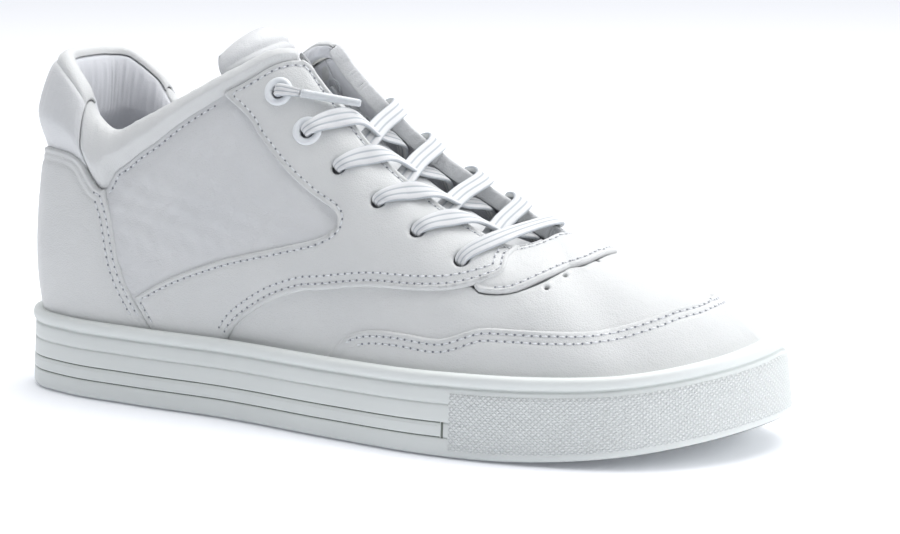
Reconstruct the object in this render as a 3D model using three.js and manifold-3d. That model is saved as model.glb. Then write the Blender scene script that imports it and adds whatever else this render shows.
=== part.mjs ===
// A men's right-foot basketball high top: a rubber cup sole, foam and board inside it, a padded
// leather upper of overlapping panels, a padded tongue, six pairs of eyelets and one flat lace.
//
// Millimetres, +Z up, +X towards the toe, +Y towards the inner (medial) side of the foot.
// The last is written in shoemaker's co-ordinates, with x measured forward from the back of the
// heel, and the whole shoe is moved at the end so that its footprint is centred on the origin.

import * as THREE from 'three';
import { mergeVertices } from 'three/addons/utils/BufferGeometryUtils.js';
import Module from 'manifold-3d';

const wasm = await Module();
wasm.setup();

// ---------------------------------------------------------------- driving dimensions
const soleLength = 303;          // heel to toe of the cup sole
const soleWidth = 112;           // across the ball of the sole
const upperHeight = 131;         // ground to the top of the heel's collar
const clearance = 0.3;           // between glued, stitched or touching pieces

const toeSpring = 11;            // how far the toe of the sole lifts off the ground
const springStart = 210;         // where the sole starts to lift, from the heel
const floorThickness = 5;        // cup sole under the midsole
const cupWall = 5.5;             // cup sole wall at its foot
const beadHeight = 4;            // rounded lip along the top of the cup wall
const heelWallHeight = 29.7;     // cup wall at the heel, waist, ball and toe, above the ground
const waistWallHeight = 28.7;
const ballWallHeight = 31.5;
const toeWallHeight = 39.3;
const heelFlare = 1.5;           // how far the wall leans in between ground and lip
const toeFlare = 3;

const footbedHeel = 22;          // top of the insole board above the ground
const footbedBall = 15;
const boardThickness = 2;
const socklinerThickness = 4;

const leather = 1.2;             // every leather panel
const stiffenerThickness = 0.8;  // toe puff and heel stiffener
const liningThickness = 0.8;

const collarPuff = 4;            // collar padding outside the last line
const collarPuffInside = 9;      // and inside it
const bandShare = 0.45;          // the side bands' padding, against the heel's

const eyeletHole = 6;            // lace hole through the eyestays
const ringOuter = 10.8;          // plastic eyelet ring
const ringInner = 5.4;
const ringThickness = 0.8;
const laceDiameter = 2;          // the flat lace's thickness
const agletLength = 22;
const agletDiameter = 3.2;
const perforation = 2;           // vent holes in the vamp

const tongueThickness = 7;
const tongueHalfWidth = 22;
const sampleTongueHalf = 22;     // the half width that the tongue's rows below are drawn for

const bumperProud = 0.5;         // knurled toe bumper, heel patch and stripes above the wall
const inlayDepth = 1;

// The last is drawn for the sample size and graded to the dimensions above.
const sample = { length: 303, width: 112, height: 131 };
const gradeX = soleLength / sample.length;
const gradeY = soleWidth / sample.width;
const gradeZ = upperHeight / sample.height;

// ---------------------------------------------------------------- curves
// A smooth curve through rows of [parameter, ...values].
function curveThrough(rows) {
  const slopes = rows.map((row, i) => {
    const before = rows[Math.max(i - 1, 0)];
    const after = rows[Math.min(i + 1, rows.length - 1)];
    const back = row[0] - before[0];
    const ahead = after[0] - row[0];
    return row.slice(1).map((value, k) => {
      if (!back) return (after[k + 1] - value) / ahead;
      if (!ahead) return (value - before[k + 1]) / back;
      const left = (value - before[k + 1]) / back;
      const right = (after[k + 1] - value) / ahead;
      return (left * ahead + right * back) / (back + ahead);
    });
  });
  return (t) => {
    const u = THREE.MathUtils.clamp(t, rows[0][0], rows[rows.length - 1][0]);
    let i = 0;
    while (i < rows.length - 2 && u > rows[i + 1][0]) i += 1;
    const span = rows[i + 1][0] - rows[i][0];
    const s = (u - rows[i][0]) / span;
    const start = 2 * s ** 3 - 3 * s ** 2 + 1;
    const leave = (s ** 3 - 2 * s ** 2 + s) * span;
    const arrive = (s ** 3 - s ** 2) * span;
    return rows[i].slice(1).map((value, k) => (
      value * start + slopes[i][k] * leave + rows[i + 1][k + 1] * (1 - start) + slopes[i + 1][k] * arrive));
  };
}

// ---------------------------------------------------------------- the last
// q runs along the sole's edge from the heel's centre (0) round one side to the toe's centre (1).
// Rows before 0 and after 1 only carry the curve smoothly across the centre.
// Side 0 is lateral (outer, -Y) and side 1 is medial (inner, +Y).
const LATERAL = 0;
const MEDIAL = 1;
const sideSign = [-1, 1];

const outlines = [
  curveThrough([
    [-0.04, 2, 14], [0, 0, 0], [0.04, 2, -14], [0.085, 12, -28], [0.14, 31, -36],
    [0.225, 63, -40], [0.338, 105, -42.5],
    [0.482, 155, -51], [0.61, 200, -56.5], [0.723, 240, -52.5], [0.812, 270, -42], [0.886, 289, -25],
    [0.945, 299, -7], [1, 303, 12], [1.055, 299, 28],
  ]),
  curveThrough([
    [-0.04, 2, -14], [0, 0, 0], [0.04, 2, 14], [0.085, 12, 26.5], [0.14, 31, 34],
    [0.225, 63, 36.5], [0.338, 105, 36],
    [0.482, 155, 41], [0.61, 200, 51.5], [0.723, 235, 55.5], [0.812, 267, 51], [0.886, 288, 41],
    [0.945, 299, 28], [1, 303, 12], [1.055, 299, -7],
  ]),
];

// The topline: round the collar, down the throat's edge, across its foot and along the vamp's ridge.
const throatCorner = 0.495;
const ridgeStart = 0.83;
const topline = curveThrough([
  [-0.05, 17, -13, 126], [0, 16, 0, 126.5], [0.05, 17, 13, 126], [0.1, 24, 22, 124],
  [0.15, 35, 27, 115], [0.2, 43, 28.5, 104.5],
  [0.24, 51, 29, 100], [0.3, 64, 28.5, 105], [0.36, 81, 26, 114], [0.42, 101, 21, 125],
  [0.47, 116, 15.5, 132], [throatCorner, 123, 12.5, 131], [0.52, 129, 12.5, 124], [0.56, 138, 13.5, 114.5],
  [0.6, 151, 16, 102], [0.65, 167, 18.5, 90], [0.69, 185, 20, 79.5], [0.73, 201, 20.5, 71.5],
  [0.76, 211, 19, 67.5], [0.785, 217, 13, 68], [0.81, 220, 6, 69.5], [ridgeStart, 221, 0, 70.5],
  [0.87, 229, 0, 68.5], [0.91, 239, 0, 65.5], [0.96, 252, 0, 61], [1, 261, 0, 57.5],
]);
// Pulls on each meridian of the last: at its foot [height, outwards], at its top [ahead, outwards, up].
const lowPull = curveThrough([
  [0, 28, 9], [0.1, 28, 8], [0.225, 26, 4], [0.4, 26, 1.5], [0.6, 18, 3], [0.72, 13, 3.5], [0.85, 12, 3],
  [1, 12, 2.5],
]);
const highPull = curveThrough([
  [0, -6, 0, -38], [0.05, -6, 1.5, -38], [0.1, -4, 2, -36], [0.15, 0, 2.5, -32], [0.2, 4, 3, -28],
  [0.24, 5, 3.5, -26], [0.36, 9, 8, -30], [0.42, 10, 11, -32], [0.47, 10, 13, -30],
  [throatCorner, 10, 14, -28], [0.56, 12, 16, -22], [0.65, 12, 18, -14], [0.73, 10, 18, -8],
  [0.76, 9, 19, -5], [0.785, 8, 22, -3], [0.81, 8, 25, -3], [ridgeStart, 10, 25, -3], [0.91, 20, 22, -6.5],
  [0.96, 24, 14, -9], [1, 26, 0, -11],
]);
const toeTurn = 8;               // how far the ridge swings to the big toe by the end of the toe

function outline(side, q) {
  const [x, y] = outlines[side](q);
  return new THREE.Vector2(x * gradeX, y * gradeY);
}

function outlineNormal(side, q) {
  if (q <= 0) return new THREE.Vector2(-1, 0);
  if (q >= 1) return new THREE.Vector2(1, 0);
  const step = 0.001;
  const along = outline(side, Math.min(q + step, 1)).sub(outline(side, Math.max(q - step, 0))).normalize();
  return new THREE.Vector2(-sideSign[side] * along.y, sideSign[side] * along.x);
}

function spring(x) {
  const run = Math.max(0, (x - springStart * gradeX) / (soleLength - springStart * gradeX));
  return toeSpring * run ** 2;
}

function footHeight(x) {
  const share = THREE.MathUtils.clamp((x / soleLength - 0.2) / 0.48, 0, 1);
  return THREE.MathUtils.lerp(footbedHeel, footbedBall, share) + spring(x);
}

// A point inset from the sole's outline, at a height that may follow x.
function insetPoint(side, q, inset, height) {
  const p = outline(side, q).addScaledVector(outlineNormal(side, q), -inset);
  return new THREE.Vector3(p.x, p.y, typeof height === 'function' ? height(p.x) : height);
}

const featherInset = cupWall + 2.3;

function lastPoint(side, q, v) {
  const sign = sideSign[side];
  const foot = insetPoint(side, q, featherInset, footHeight);
  const normal = outlineNormal(side, q);
  const [lift, lean] = lowPull(q);
  const low = foot.clone().add(new THREE.Vector3(normal.x * lean, normal.y * lean, lift * gradeZ));
  const [tx, ty, tz] = topline(q);
  const ridge = toeTurn * Math.max(0, (tx - 221) / 84);
  const half = q < ridgeStart ? Math.max(ty, 0) : 0;
  const top = new THREE.Vector3(tx * gradeX, (ridge + sign * half) * gradeY, tz * gradeZ);
  const [px, py, pz] = highPull(q);
  const high = top.clone().add(new THREE.Vector3(px * gradeX, sign * py * gradeY, pz * gradeZ));
  return new THREE.CubicBezierCurve3(foot, low, high, top).getPoint(v);
}

function sideNormal(side, q, v) {
  const step = 0.002;
  const alongQ = lastPoint(side, Math.min(q + step, 1), v).sub(lastPoint(side, Math.max(q - step, 0), v));
  const alongV = lastPoint(side, q, Math.min(v + step, 1)).sub(lastPoint(side, q, Math.max(v - step, 0)));
  return alongQ.cross(alongV).multiplyScalar(side === LATERAL ? 1 : -1).normalize();
}

// Along the heel's centre, the toe's centre and the ridge, both sides share one normal.
function lastNormal(side, q, v) {
  if (q === 0 || q === 1 || (v === 1 && q >= ridgeStart)) {
    return sideNormal(LATERAL, q, v).add(sideNormal(MEDIAL, q, v)).normalize();
  }
  return sideNormal(side, q, v);
}

function offLast(side, q, v, offset) {
  return lastPoint(side, q, v).addScaledVector(lastNormal(side, q, v), offset);
}

// ---------------------------------------------------------------- solids
const steps = (from, to, count) => Array.from({ length: count + 1 }, (_, i) => (
  i === count ? to : from + (to - from) * i / count));

// Stations along the shoe's side: closer together round the heel, the throat's corner and the toe.
const stations = [
  0, 0.03, 0.06, 0.09, 0.12, 0.16, 0.203, 0.26, 0.33, 0.41, throatCorner, 0.56, 0.63, 0.7,
  0.75, 0.785, 0.81, ridgeStart, 0.87, 0.91, 0.95, 0.98, 1,
];

function closedGeometry(triangles) {
  const positions = new Float32Array(triangles.length * 9);
  triangles.forEach((triangle, i) => triangle.forEach((p, k) => p.toArray(positions, i * 9 + k * 3)));
  const geometry = new THREE.BufferGeometry();
  geometry.setAttribute('position', new THREE.BufferAttribute(positions, 3));
  const merged = mergeVertices(geometry, 1e-4);
  const index = [];
  for (let i = 0; i < merged.index.count; i += 3) {
    const corner = [0, 1, 2].map((k) => merged.index.getX(i + k));
    if (new Set(corner).size === 3) index.push(...corner);
  }
  merged.setIndex(index);
  if (signedVolume(merged) < 0) {
    for (let i = 0; i < index.length; i += 3) [index[i], index[i + 1]] = [index[i + 1], index[i]];
    merged.setIndex(index);
  }
  return merged;
}

function signedVolume(geometry) {
  const position = geometry.getAttribute('position');
  const [a, b, c] = [new THREE.Vector3(), new THREE.Vector3(), new THREE.Vector3()];
  let volume = 0;
  for (let i = 0; i < geometry.index.count; i += 3) {
    [a, b, c].forEach((p, k) => p.fromBufferAttribute(position, geometry.index.getX(i + k)));
    volume += a.dot(b.cross(c)) / 6;
  }
  return volume;
}

// Two triangles for each cell of a grid of points, wound one way or the other.
function gridFaces(grid, flip = false) {
  const faces = [];
  for (let i = 0; i + 1 < grid.length; i += 1) {
    for (let j = 0; j + 1 < grid[i].length; j += 1) {
      const [a, b, c, d] = [grid[i][j], grid[i + 1][j], grid[i + 1][j + 1], grid[i][j + 1]];
      if (flip) faces.push([a, c, b], [a, d, c]);
      else faces.push([a, b, c], [a, c, d]);
    }
  }
  return faces;
}

// A plate between two grids of points of the same size, walled along all four sides.
function plate(outer, inner) {
  const last = outer.length - 1;
  const end = outer[0].length - 1;
  return closedGeometry([
    ...gridFaces(outer),
    ...gridFaces(inner, true),
    ...gridFaces([inner[0], outer[0]]),
    ...gridFaces([outer[last], inner[last]]),
    ...gridFaces([outer.map((row) => row[0]), inner.map((row) => row[0])]),
    ...gridFaces([inner.map((row) => row[end]), outer.map((row) => row[end])]),
  ]);
}

// A bar with a closed section: one ring of points for each step along it, and a flat cap at each end.
function bar(rings) {
  const closed = rings.map((ring) => [...ring, ring[0]]);
  const cap = (ring, flip) => {
    const faces = [];
    const half = ring.length / 2;
    for (let i = 0; i + 1 < half; i += 1) {
      const [a, b, c, d] = [ring[i], ring[i + 1], ring[ring.length - 2 - i], ring[ring.length - 1 - i]];
      faces.push(...(flip ? [[a, c, b], [a, d, c]] : [[a, b, c], [a, c, d]]));
    }
    return faces;
  };
  return closedGeometry([...gridFaces(closed), ...cap(rings[0], false), ...cap(rings[rings.length - 1], true)]);
}

// A shell of the last between two offsets: both sides, joined at the heel, the toe and the ridge.
const meridianSteps = [0, 0.14, 0.36, 0.6, 0.82, 1];
function lastShell(insideOffset, outsideOffset) {
  const faces = [];
  [LATERAL, MEDIAL].forEach((side) => {
    const flip = side === MEDIAL;
    const grid = (offset) => stations.map((q) => meridianSteps.map((v) => offLast(side, q, v, offset)));
    const outer = grid(outsideOffset);
    const inner = grid(insideOffset);
    const end = meridianSteps.length - 1;
    const open = stations.indexOf(ridgeStart) + 1;
    faces.push(...gridFaces(outer, flip), ...gridFaces(inner, !flip));
    faces.push(...gridFaces([outer.map((row) => row[0]), inner.map((row) => row[0])], flip));
    faces.push(...gridFaces([
      inner.slice(0, open).map((row) => row[end]), outer.slice(0, open).map((row) => row[end])], flip));
  });
  return closedGeometry(faces);
}

// Everything inside an offset of the last, closed flat under the foot and across the opening.
function lastBody(offset) {
  const faces = [];
  const rails = [LATERAL, MEDIAL].map((side) => stations.map((q) => (
    meridianSteps.map((v) => offLast(side, q, v, offset)))));
  faces.push(...gridFaces(rails[LATERAL]), ...gridFaces(rails[MEDIAL], true));
  const end = meridianSteps.length - 1;
  faces.push(...gridFaces([rails[LATERAL].map((row) => row[0]), rails[MEDIAL].map((row) => row[0])]));
  const open = stations.indexOf(ridgeStart) + 1;
  const lips = rails.map((rail) => rail.slice(0, open).map((row) => row[end]));
  faces.push(...gridFaces([lips[MEDIAL], lips[LATERAL]]));
  return closedGeometry(faces);
}

// A slab with the outline's shape: levels are [inset, height] from the bottom up, and either may
// be a function of (side, q) or of x.
function soleSlab(levels) {
  const faces = [];
  const at = (side, q, [inset, height]) => (
    insetPoint(side, q, typeof inset === 'function' ? inset(side, q) : inset, height));
  const walls = [LATERAL, MEDIAL].map((side) => levels.map((level) => stations.map((q) => at(side, q, level))));
  faces.push(...gridFaces(walls[LATERAL]), ...gridFaces(walls[MEDIAL], true));
  const top = levels.length - 1;
  faces.push(...gridFaces([walls[MEDIAL][0], walls[LATERAL][0]]));
  faces.push(...gridFaces([walls[LATERAL][top], walls[MEDIAL][top]]));
  return closedGeometry(faces);
}

// A block whose side-view outline is given in x and z, reaching from one y to another.
function block(points, fromY, toY) {
  const shape = new THREE.Shape(points.map(([x, z]) => new THREE.Vector2(x, z)));
  const geometry = new THREE.ExtrudeGeometry(shape, { depth: toY - fromY, bevelEnabled: false });
  geometry.rotateX(Math.PI / 2);
  geometry.translate(0, toY, 0);
  return geometry;
}

// Booleans on closed geometries.
function toSolid(geometry) {
  const bare = geometry.clone();
  bare.deleteAttribute('normal');
  bare.deleteAttribute('uv');
  const merged = mergeVertices(bare, 1e-5);
  return new wasm.Manifold(new wasm.Mesh({
    numProp: 3,
    vertProperties: new Float32Array(merged.getAttribute('position').array),
    triVerts: new Uint32Array(merged.index.array),
  }));
}

function toGeometry(solid) {
  const mesh = solid.getMesh();
  const geometry = new THREE.BufferGeometry();
  geometry.setAttribute('position', new THREE.BufferAttribute(new Float32Array(mesh.vertProperties), 3));
  geometry.setIndex(new THREE.BufferAttribute(new Uint32Array(mesh.triVerts), 1));
  return geometry;
}

const cut = (solid, ...tools) => tools.reduce((rest, tool) => rest.subtract(toSolid(tool)), solid);

// A round tool or pin standing on the last at (side, q, v), along its normal.
function pinAt(side, q, v, radius, from, to, sides = 10) {
  const pin = new THREE.CylinderGeometry(radius, radius, to - from, sides);
  pin.rotateX(Math.PI / 2);
  pin.translate(0, 0, (from + to) / 2);
  return placeOnLast(pin, side, q, v);
}

function placeOnLast(geometry, side, q, v) {
  const turn = new THREE.Quaternion().setFromUnitVectors(new THREE.Vector3(0, 0, 1), lastNormal(side, q, v));
  geometry.applyQuaternion(turn);
  const p = lastPoint(side, q, v);
  return geometry.translate(p.x, p.y, p.z);
}

// ---------------------------------------------------------------- the shoe and its materials
const shoe = new THREE.Group();
const material = (color, roughness) => new THREE.MeshStandardMaterial({ color, roughness, metalness: 0 });
const whiteLeather = () => material('#e6e8ec', 0.5);
const liningLeather = () => material('#e2e4e8', 0.65);
const rubber = () => material('#e3e6e4', 0.6);
const foam = () => material('#dcd9cf', 0.95);
const board = () => material('#c9b79a', 0.9);
const plastic = () => material('#eceef0', 0.35);
const laceCotton = () => material('#f0f1f3', 0.85);

function add(name, geometry, surface) {
  const mesh = new THREE.Mesh(geometry, surface);
  mesh.name = name;
  shoe.add(mesh);
}
const sideNames = ['lateral', 'medial'];

// ---------------------------------------------------------------- cup sole and what lies in it
const wallHeight = curveThrough([
  [0, heelWallHeight], [0.3, waistWallHeight], [0.6, waistWallHeight + 0.3], [0.8, ballWallHeight],
  [0.9, (ballWallHeight + toeWallHeight) / 2], [1, toeWallHeight],
]);
const flare = (q) => THREE.MathUtils.lerp(heelFlare, toeFlare, THREE.MathUtils.smoothstep(q, 0.5, 0.95));

// A point on the cup wall's outside, at a share of its height, pushed out by an offset.
function wallPoint(side, q, share, offset = 0) {
  const ground = insetPoint(side, q, 0, spring);
  const height = THREE.MathUtils.lerp(ground.z, wallHeight(q)[0], share);
  return insetPoint(side, q, flare(q) * share - offset, height);
}

const beadShare = 1 - beadHeight / heelWallHeight;
const wallLevel = (share, offset) => (
  [LATERAL, MEDIAL].map((side) => stations.map((q) => wallPoint(side, q, share, offset))));

function cupBody() {
  const bevel = 1;
  const groove = 0.6;
  const levels = [
    wallLevel(0, -bevel),
    wallLevel(bevel / heelWallHeight, 0),
    wallLevel(beadShare - 0.03, 0),
    wallLevel(beadShare, -groove),
    wallLevel(beadShare + 0.03, 0),
    wallLevel(1 - 0.04, 0),
    wallLevel(1, -bevel),
  ];
  const sides = [LATERAL, MEDIAL].map((side) => levels.map((level) => level[side]));
  const top = levels.length - 1;
  return closedGeometry([
    ...gridFaces(sides[LATERAL]),
    ...gridFaces(sides[MEDIAL], true),
    ...gridFaces([sides[MEDIAL][0], sides[LATERAL][0]]),
    ...gridFaces([sides[LATERAL][top], sides[MEDIAL][top]]),
  ]);
}

// A band along the cup wall from one place to another, [side, q] to [side, q], round heel or toe.
function wallBand(from, to, lowShare, highShare, inside, outside) {
  const between = (side, a, b) => {
    const inner = stations.filter((q) => q > Math.min(a, b) + 0.004 && q < Math.max(a, b) - 0.004);
    const all = [Math.min(a, b), ...inner, Math.max(a, b)];
    return (a < b ? all : all.reverse()).map((q) => [side, q]);
  };
  let route;
  if (from[0] === to[0]) route = between(from[0], from[1], to[1]);
  else {
    const turn = from[1] > 0.5 ? 1 : 0;
    route = [...between(from[0], from[1], turn), ...between(to[0], turn, to[1]).slice(1)];
  }
  const shares = [lowShare, (lowShare + highShare) / 2, highShare];
  return bar(route.map(([side, q]) => [
    ...shares.map((share) => wallPoint(side, q, share, outside)),
    ...shares.slice().reverse().map((share) => wallPoint(side, q, share, inside)),
  ]));
}

// Inlays in the wall: each gets a pocket that is wider by the clearance.
const bumperEnd = 0.628;
const inlays = [
  { name: 'toe_bumper', from: [LATERAL, bumperEnd], to: [MEDIAL, bumperEnd], low: 0.07, high: 0.8 },
  { name: 'heel_patch', from: [LATERAL, 0.03], to: [MEDIAL, 0.03], low: 0.07, high: 0.8 },
  { name: 'sidewall_stripe_lateral', from: [LATERAL, 0.05], to: [LATERAL, 0.618], low: 0.2, high: 0.42 },
  { name: 'sidewall_stripe_medial', from: [MEDIAL, 0.05], to: [MEDIAL, 0.618], low: 0.2, high: 0.42 },
];
const gapQ = clearance / (soleLength * 1.17);
const gapShare = clearance / waistWallHeight;

const wallSmoothing = 0.06;
const floorHeight = (x) => floorThickness + spring(x);
const cavityInset = cupWall + 0.6;
const tall = 200;
let cup = cut(
  toSolid(cupBody()),
  soleSlab([[cavityInset, floorHeight], [cavityInset, (x) => footHeight(x) + clearance]]),
  lastBody(clearance * 2 + leather + clearance),
);
inlays.forEach(({ name, from, to, low, high }) => {
  const isStripe = from[0] === to[0];
  const widen = ([side, q], sign) => [side, q + sign * gapQ];
  const start = widen(from, isStripe || from[1] > 0.5 ? -1 : 1);
  const end = widen(to, isStripe ? 1 : (to[1] > 0.5 ? -1 : 1));
  cup = cut(cup, wallBand(start, end, low - gapShare, high + gapShare, -inlayDepth - clearance, 3));
  add(name, wallBand(from, to, low, high, -inlayDepth, isStripe ? 0.1 : bumperProud), rubber());
});
add('cupsole', toGeometry(cup.simplify(wallSmoothing)), rubber());

const boardDrop = 3 * clearance; // the panels' lower edges tip down a little as they lean out
add('midsole_foam', soleSlab([
  [cavityInset + clearance, (x) => floorHeight(x) + clearance],
  [cavityInset + clearance, (x) => footHeight(x) - boardThickness - boardDrop - clearance],
]), foam());
add('insole_board', soleSlab([
  [cavityInset + clearance, (x) => footHeight(x) - boardThickness - boardDrop],
  [cavityInset + clearance, (x) => footHeight(x) - boardDrop],
]), board());

const liningInside = -(leather + stiffenerThickness + liningThickness + 2 * clearance);
// A lower upper leans in more over the sockliner, so the room round the sockliner grows with it.
const socklinerInset = featherInset - liningInside + 2 * clearance / gradeZ ** 2;
add('sockliner', soleSlab([
  [socklinerInset, (x) => footHeight(x) + clearance],
  [socklinerInset, (x) => footHeight(x) + clearance + socklinerThickness],
]), foam());

// ---------------------------------------------------------------- seams of the upper, in side view
const graded = (points) => points.map(([x, z]) => [x * gradeX, z * gradeZ]);
const far = 400;

// Where the collar's foot is sewn to the quarters: a height up each meridian of the last.
const collarSeam = curveThrough([
  [0, 0.68], [0.1, 0.71], [0.16, 0.745], [0.203, 0.7], [0.234, 0.82], [0.27, 0.87], [0.307, 0.895],
  [0.352, 0.93], [0.4, 0.945], [0.45, 0.95], [throatCorner, 0.972],
]);

// The collar's foot seam as side-view points, at an offset from the last and a little below it.
function seamPoints(side, offset, drop) {
  return stations.filter((q) => q <= throatCorner).map((q) => {
    const p = offLast(side, q, collarSeam(q)[0], offset);
    return [p.x, p.z - drop];
  });
}

const counterFront = graded([[49, 77], [52.5, 68], [56.5, 51], [62, 40], [70, 28], [76, 10]]);
const rearQuarterEdge = graded([
  [96, 117.5], [109, 109], [115, 102.5], [128, 91], [140, 83], [149, 78.5], [151, 74], [145.5, 69],
  [130.6, 64.5], [115, 60.5], [101, 56.5], [80, 48.5], [63, 39.5],
]);
const rearQuarterMargin = graded([
  [102, 122], [116, 112], [122, 105.5], [134, 95], [145, 87.3], [155, 82], [158, 74], [151, 65],
  [132, 59.5], [117, 55.5], [103, 51.5], [82, 43.5], [72, 39], [64, 10],
]);
const quarterLow = graded([
  [104.7, 28.4], [110, 35], [124, 44.2], [138, 49.6], [147, 51], [167.5, 54.2], [187.4, 54.8], [200.5, 56.2],
  [211, 59.4], [216, 62.5], [214.5, 66.5],
]);
const vampTop = graded([
  [96, 10], [98, 30], [106, 41], [124, 49], [138, 54.4], [147, 56], [167, 58.3], [187, 58.6], [198, 57.6],
  [206.5, 56.6], [209, 54.8], [216, 54.4], [222.3, 55.6], [229.5, 58.8], [234, 62.3], [240, 64.4], [247, 80],
]);
const saddleFront = graded([
  [207, 57.3], [209.2, 55.4], [216, 55], [222, 56.2], [229, 59.5], [233.3, 63], [239, 65.3], [246, 80],
]);
const backingLow = graded([
  [111, 118.5], [121, 109.5], [134, 98.5], [146, 90.8], [158, 83.6], [166, 76], [180, 69], [196, 61.5],
  [206.4, 60],
]);
const mudguardTop = graded([
  [147, 10], [150, 25], [154.7, 31], [160.7, 36.2], [169.3, 38.9], [182, 39.7], [195.7, 39], [201.8, 39.8],
  [208.8, 42.4], [215.7, 44.1], [236, 44.3], [252.8, 44.8], [264.4, 47.9], [271, 50.7], [277.5, 52.6],
  [290, 62],
]);
const toePuffBack = graded([[250, 10], [256, 40], [268, 52], [274, 60]]);
const stiffenerFront = graded([[66, 10], [58, 40], [52, 62], [44, 74]]);
const liningSplit = 150 * gradeX;

const below = -10;
const ahead = (points) => [...points, [far, points[points.length - 1][1]], [far, below], [points[0][0], below]];
const behind = (points) => [[-far, tall], [points[0][0], tall], ...points, [-far, points[points.length - 1][1]]];
const above = (points) => [...points, [points[points.length - 1][0], tall], [points[0][0], tall]];

const reach = 90 * Math.max(gradeY, 1);
const halves = [[-reach, -clearance / 2], [clearance / 2, reach]];

// ---------------------------------------------------------------- layers of the upper
const overlayInside = clearance;
const overlayOutside = clearance + leather;
const puffOutside = -leather - clearance;
const liningOutside = liningInside + liningThickness;
const makeLayer = (inside, outside) => ({ inside, outside, solid: toSolid(lastShell(inside, outside)) });
const simplifyBy = 0.09;         // joins nearly flat faces that cutting leaves
const layer = {
  base: makeLayer(-leather, 0),
  overlay: makeLayer(overlayInside, overlayOutside),
  stiffening: makeLayer(puffOutside - stiffenerThickness, puffOutside),
  lining: makeLayer(liningInside, liningOutside),
};

// Everything above the collar's foot seam on one side, which no quarter or counter reaches into.
function aboveSeam(side, offset) {
  const overlap = 0.5;
  const seam = seamPoints(side, offset, 2 * clearance);
  const [firstX, firstZ] = seam[0];
  const [lastX, lastZ] = seam[seam.length - 1];
  const cover = [...seam, [lastX + 4, lastZ + 30], [firstX - far, tall + lastZ], [firstX - far, firstZ]];
  return side === LATERAL ? block(cover, -reach, overlap) : block(cover, -overlap, reach);
}

function panel(source, outlinePoints, side, ...tools) {
  const [fromY, toY] = side === undefined ? [-reach, reach] : halves[side];
  const sides = side === undefined ? [LATERAL, MEDIAL] : [side];
  const sewn = source.solid.intersect(toSolid(block(outlinePoints, fromY, toY)));
  const seams = sides.flatMap((each) => [aboveSeam(each, source.inside), aboveSeam(each, source.outside)]);
  return cut(sewn, ...seams, ...tools).simplify(simplifyBy);
}

// Six lace holes on each side, at [q, v] on the last; the two highest have plastic rings.
const eyelets = [[0.465, 0.86], [0.493, 0.745], [0.544, 0.725], [0.604, 0.745], [0.656, 0.745], [0.697, 0.73]];
const ringCount = 2;
const holeReach = 8;
const laceHoles = (side) => eyelets.map(([q, v]) => (
  pinAt(side, q, v, eyeletHole / 2 + clearance, -holeReach, holeReach)));

const quarterOutline = [
  ...rearQuarterEdge, ...graded([[70.8, 28], [77, 10], [104, 10]]), ...quarterLow,
  ...graded([[214.5, 150], [96, 150]]),
];
const saddleOutline = [...saddleFront, ...graded([[246, 100], [207, 100]])];

[LATERAL, MEDIAL].forEach((side) => {
  const name = sideNames[side];
  const holes = laceHoles(side);
  add(`rear_quarter_${name}`, toGeometry(panel(layer.base, behind(rearQuarterMargin), side)), whiteLeather());
  add(`eyestay_backing_${name}`, toGeometry(panel(layer.base, above(backingLow), side, ...holes)), whiteLeather());
  add(`quarter_${name}`, toGeometry(panel(layer.overlay, quarterOutline, side, ...holes)), whiteLeather());
});

// Vent holes across the vamp, just in front of the throat saddle.
const vents = [[0.787, 0.68], [0.819, 0.71], [0.849, 0.77], [0.883, 0.86]];
const ventPin = (side, q, v) => pinAt(side, q, v, perforation / 2, -3, 3, 6);
const ventTools = [
  ...[LATERAL, MEDIAL].flatMap((side) => vents.map(([q, v]) => ventPin(side, q, v))),
  ventPin(LATERAL, 0.925, 1),
];
add('vamp', toGeometry(panel(layer.base, ahead(vampTop), undefined, ...ventTools)), whiteLeather());
add('throat_saddle', toGeometry(panel(layer.base, saddleOutline)), whiteLeather());
add('mudguard', toGeometry(panel(layer.overlay, ahead(mudguardTop))), whiteLeather());
add('heel_counter', toGeometry(panel(layer.overlay, behind(counterFront))), whiteLeather());
add('toe_puff', toGeometry(panel(layer.stiffening, ahead(toePuffBack))), board());
add('heel_stiffener', toGeometry(panel(layer.stiffening, [
  [-far, below], ...stiffenerFront, [-far, stiffenerFront[stiffenerFront.length - 1][1]],
])), board());

const quarterHoles = [...laceHoles(LATERAL), ...laceHoles(MEDIAL)];
const splitLine = (x) => [[x, tall], [x, below]];
add('quarter_lining', toGeometry(panel(
  layer.lining, behind(splitLine(liningSplit - clearance)), undefined, ...quarterHoles)), liningLeather());
add('vamp_lining', toGeometry(panel(
  layer.lining, [[liningSplit, tall], [far, tall], [far, below], [liningSplit, below]], undefined,
  ...quarterHoles)), liningLeather());

// ---------------------------------------------------------------- padded collar
// The collar's section, by angle: 0 at the outside of its foot seam, over the top at a right
// angle, and down the inside at 180 degrees.
const padding = (q) => THREE.MathUtils.lerp(1, bandShare, THREE.MathUtils.smoothstep(q, 0.19, 0.3));
function collarPoint(side, q, angle, offset) {
  const seam = collarSeam(q)[0];
  const rise = Math.sin(angle) ** 0.8;
  const fullness = THREE.MathUtils.smoothstep(rise, 0, 0.4);
  const middle = (collarPuff - collarPuffInside) / 2;
  const swell = (middle + (collarPuff + collarPuffInside) / 2 * Math.cos(angle)) * padding(q);
  const foot = angle < Math.PI / 2 ? 0 : liningOutside;
  const out = THREE.MathUtils.lerp(foot, swell, fullness) + offset * Math.cos(angle);
  const v = seam + (1 - seam) * rise;
  const up = lastPoint(side, q, 1).sub(lastPoint(side, q, 0.97)).normalize();
  return offLast(side, q, v, out).addScaledVector(up, offset * Math.sin(angle));
}

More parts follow.
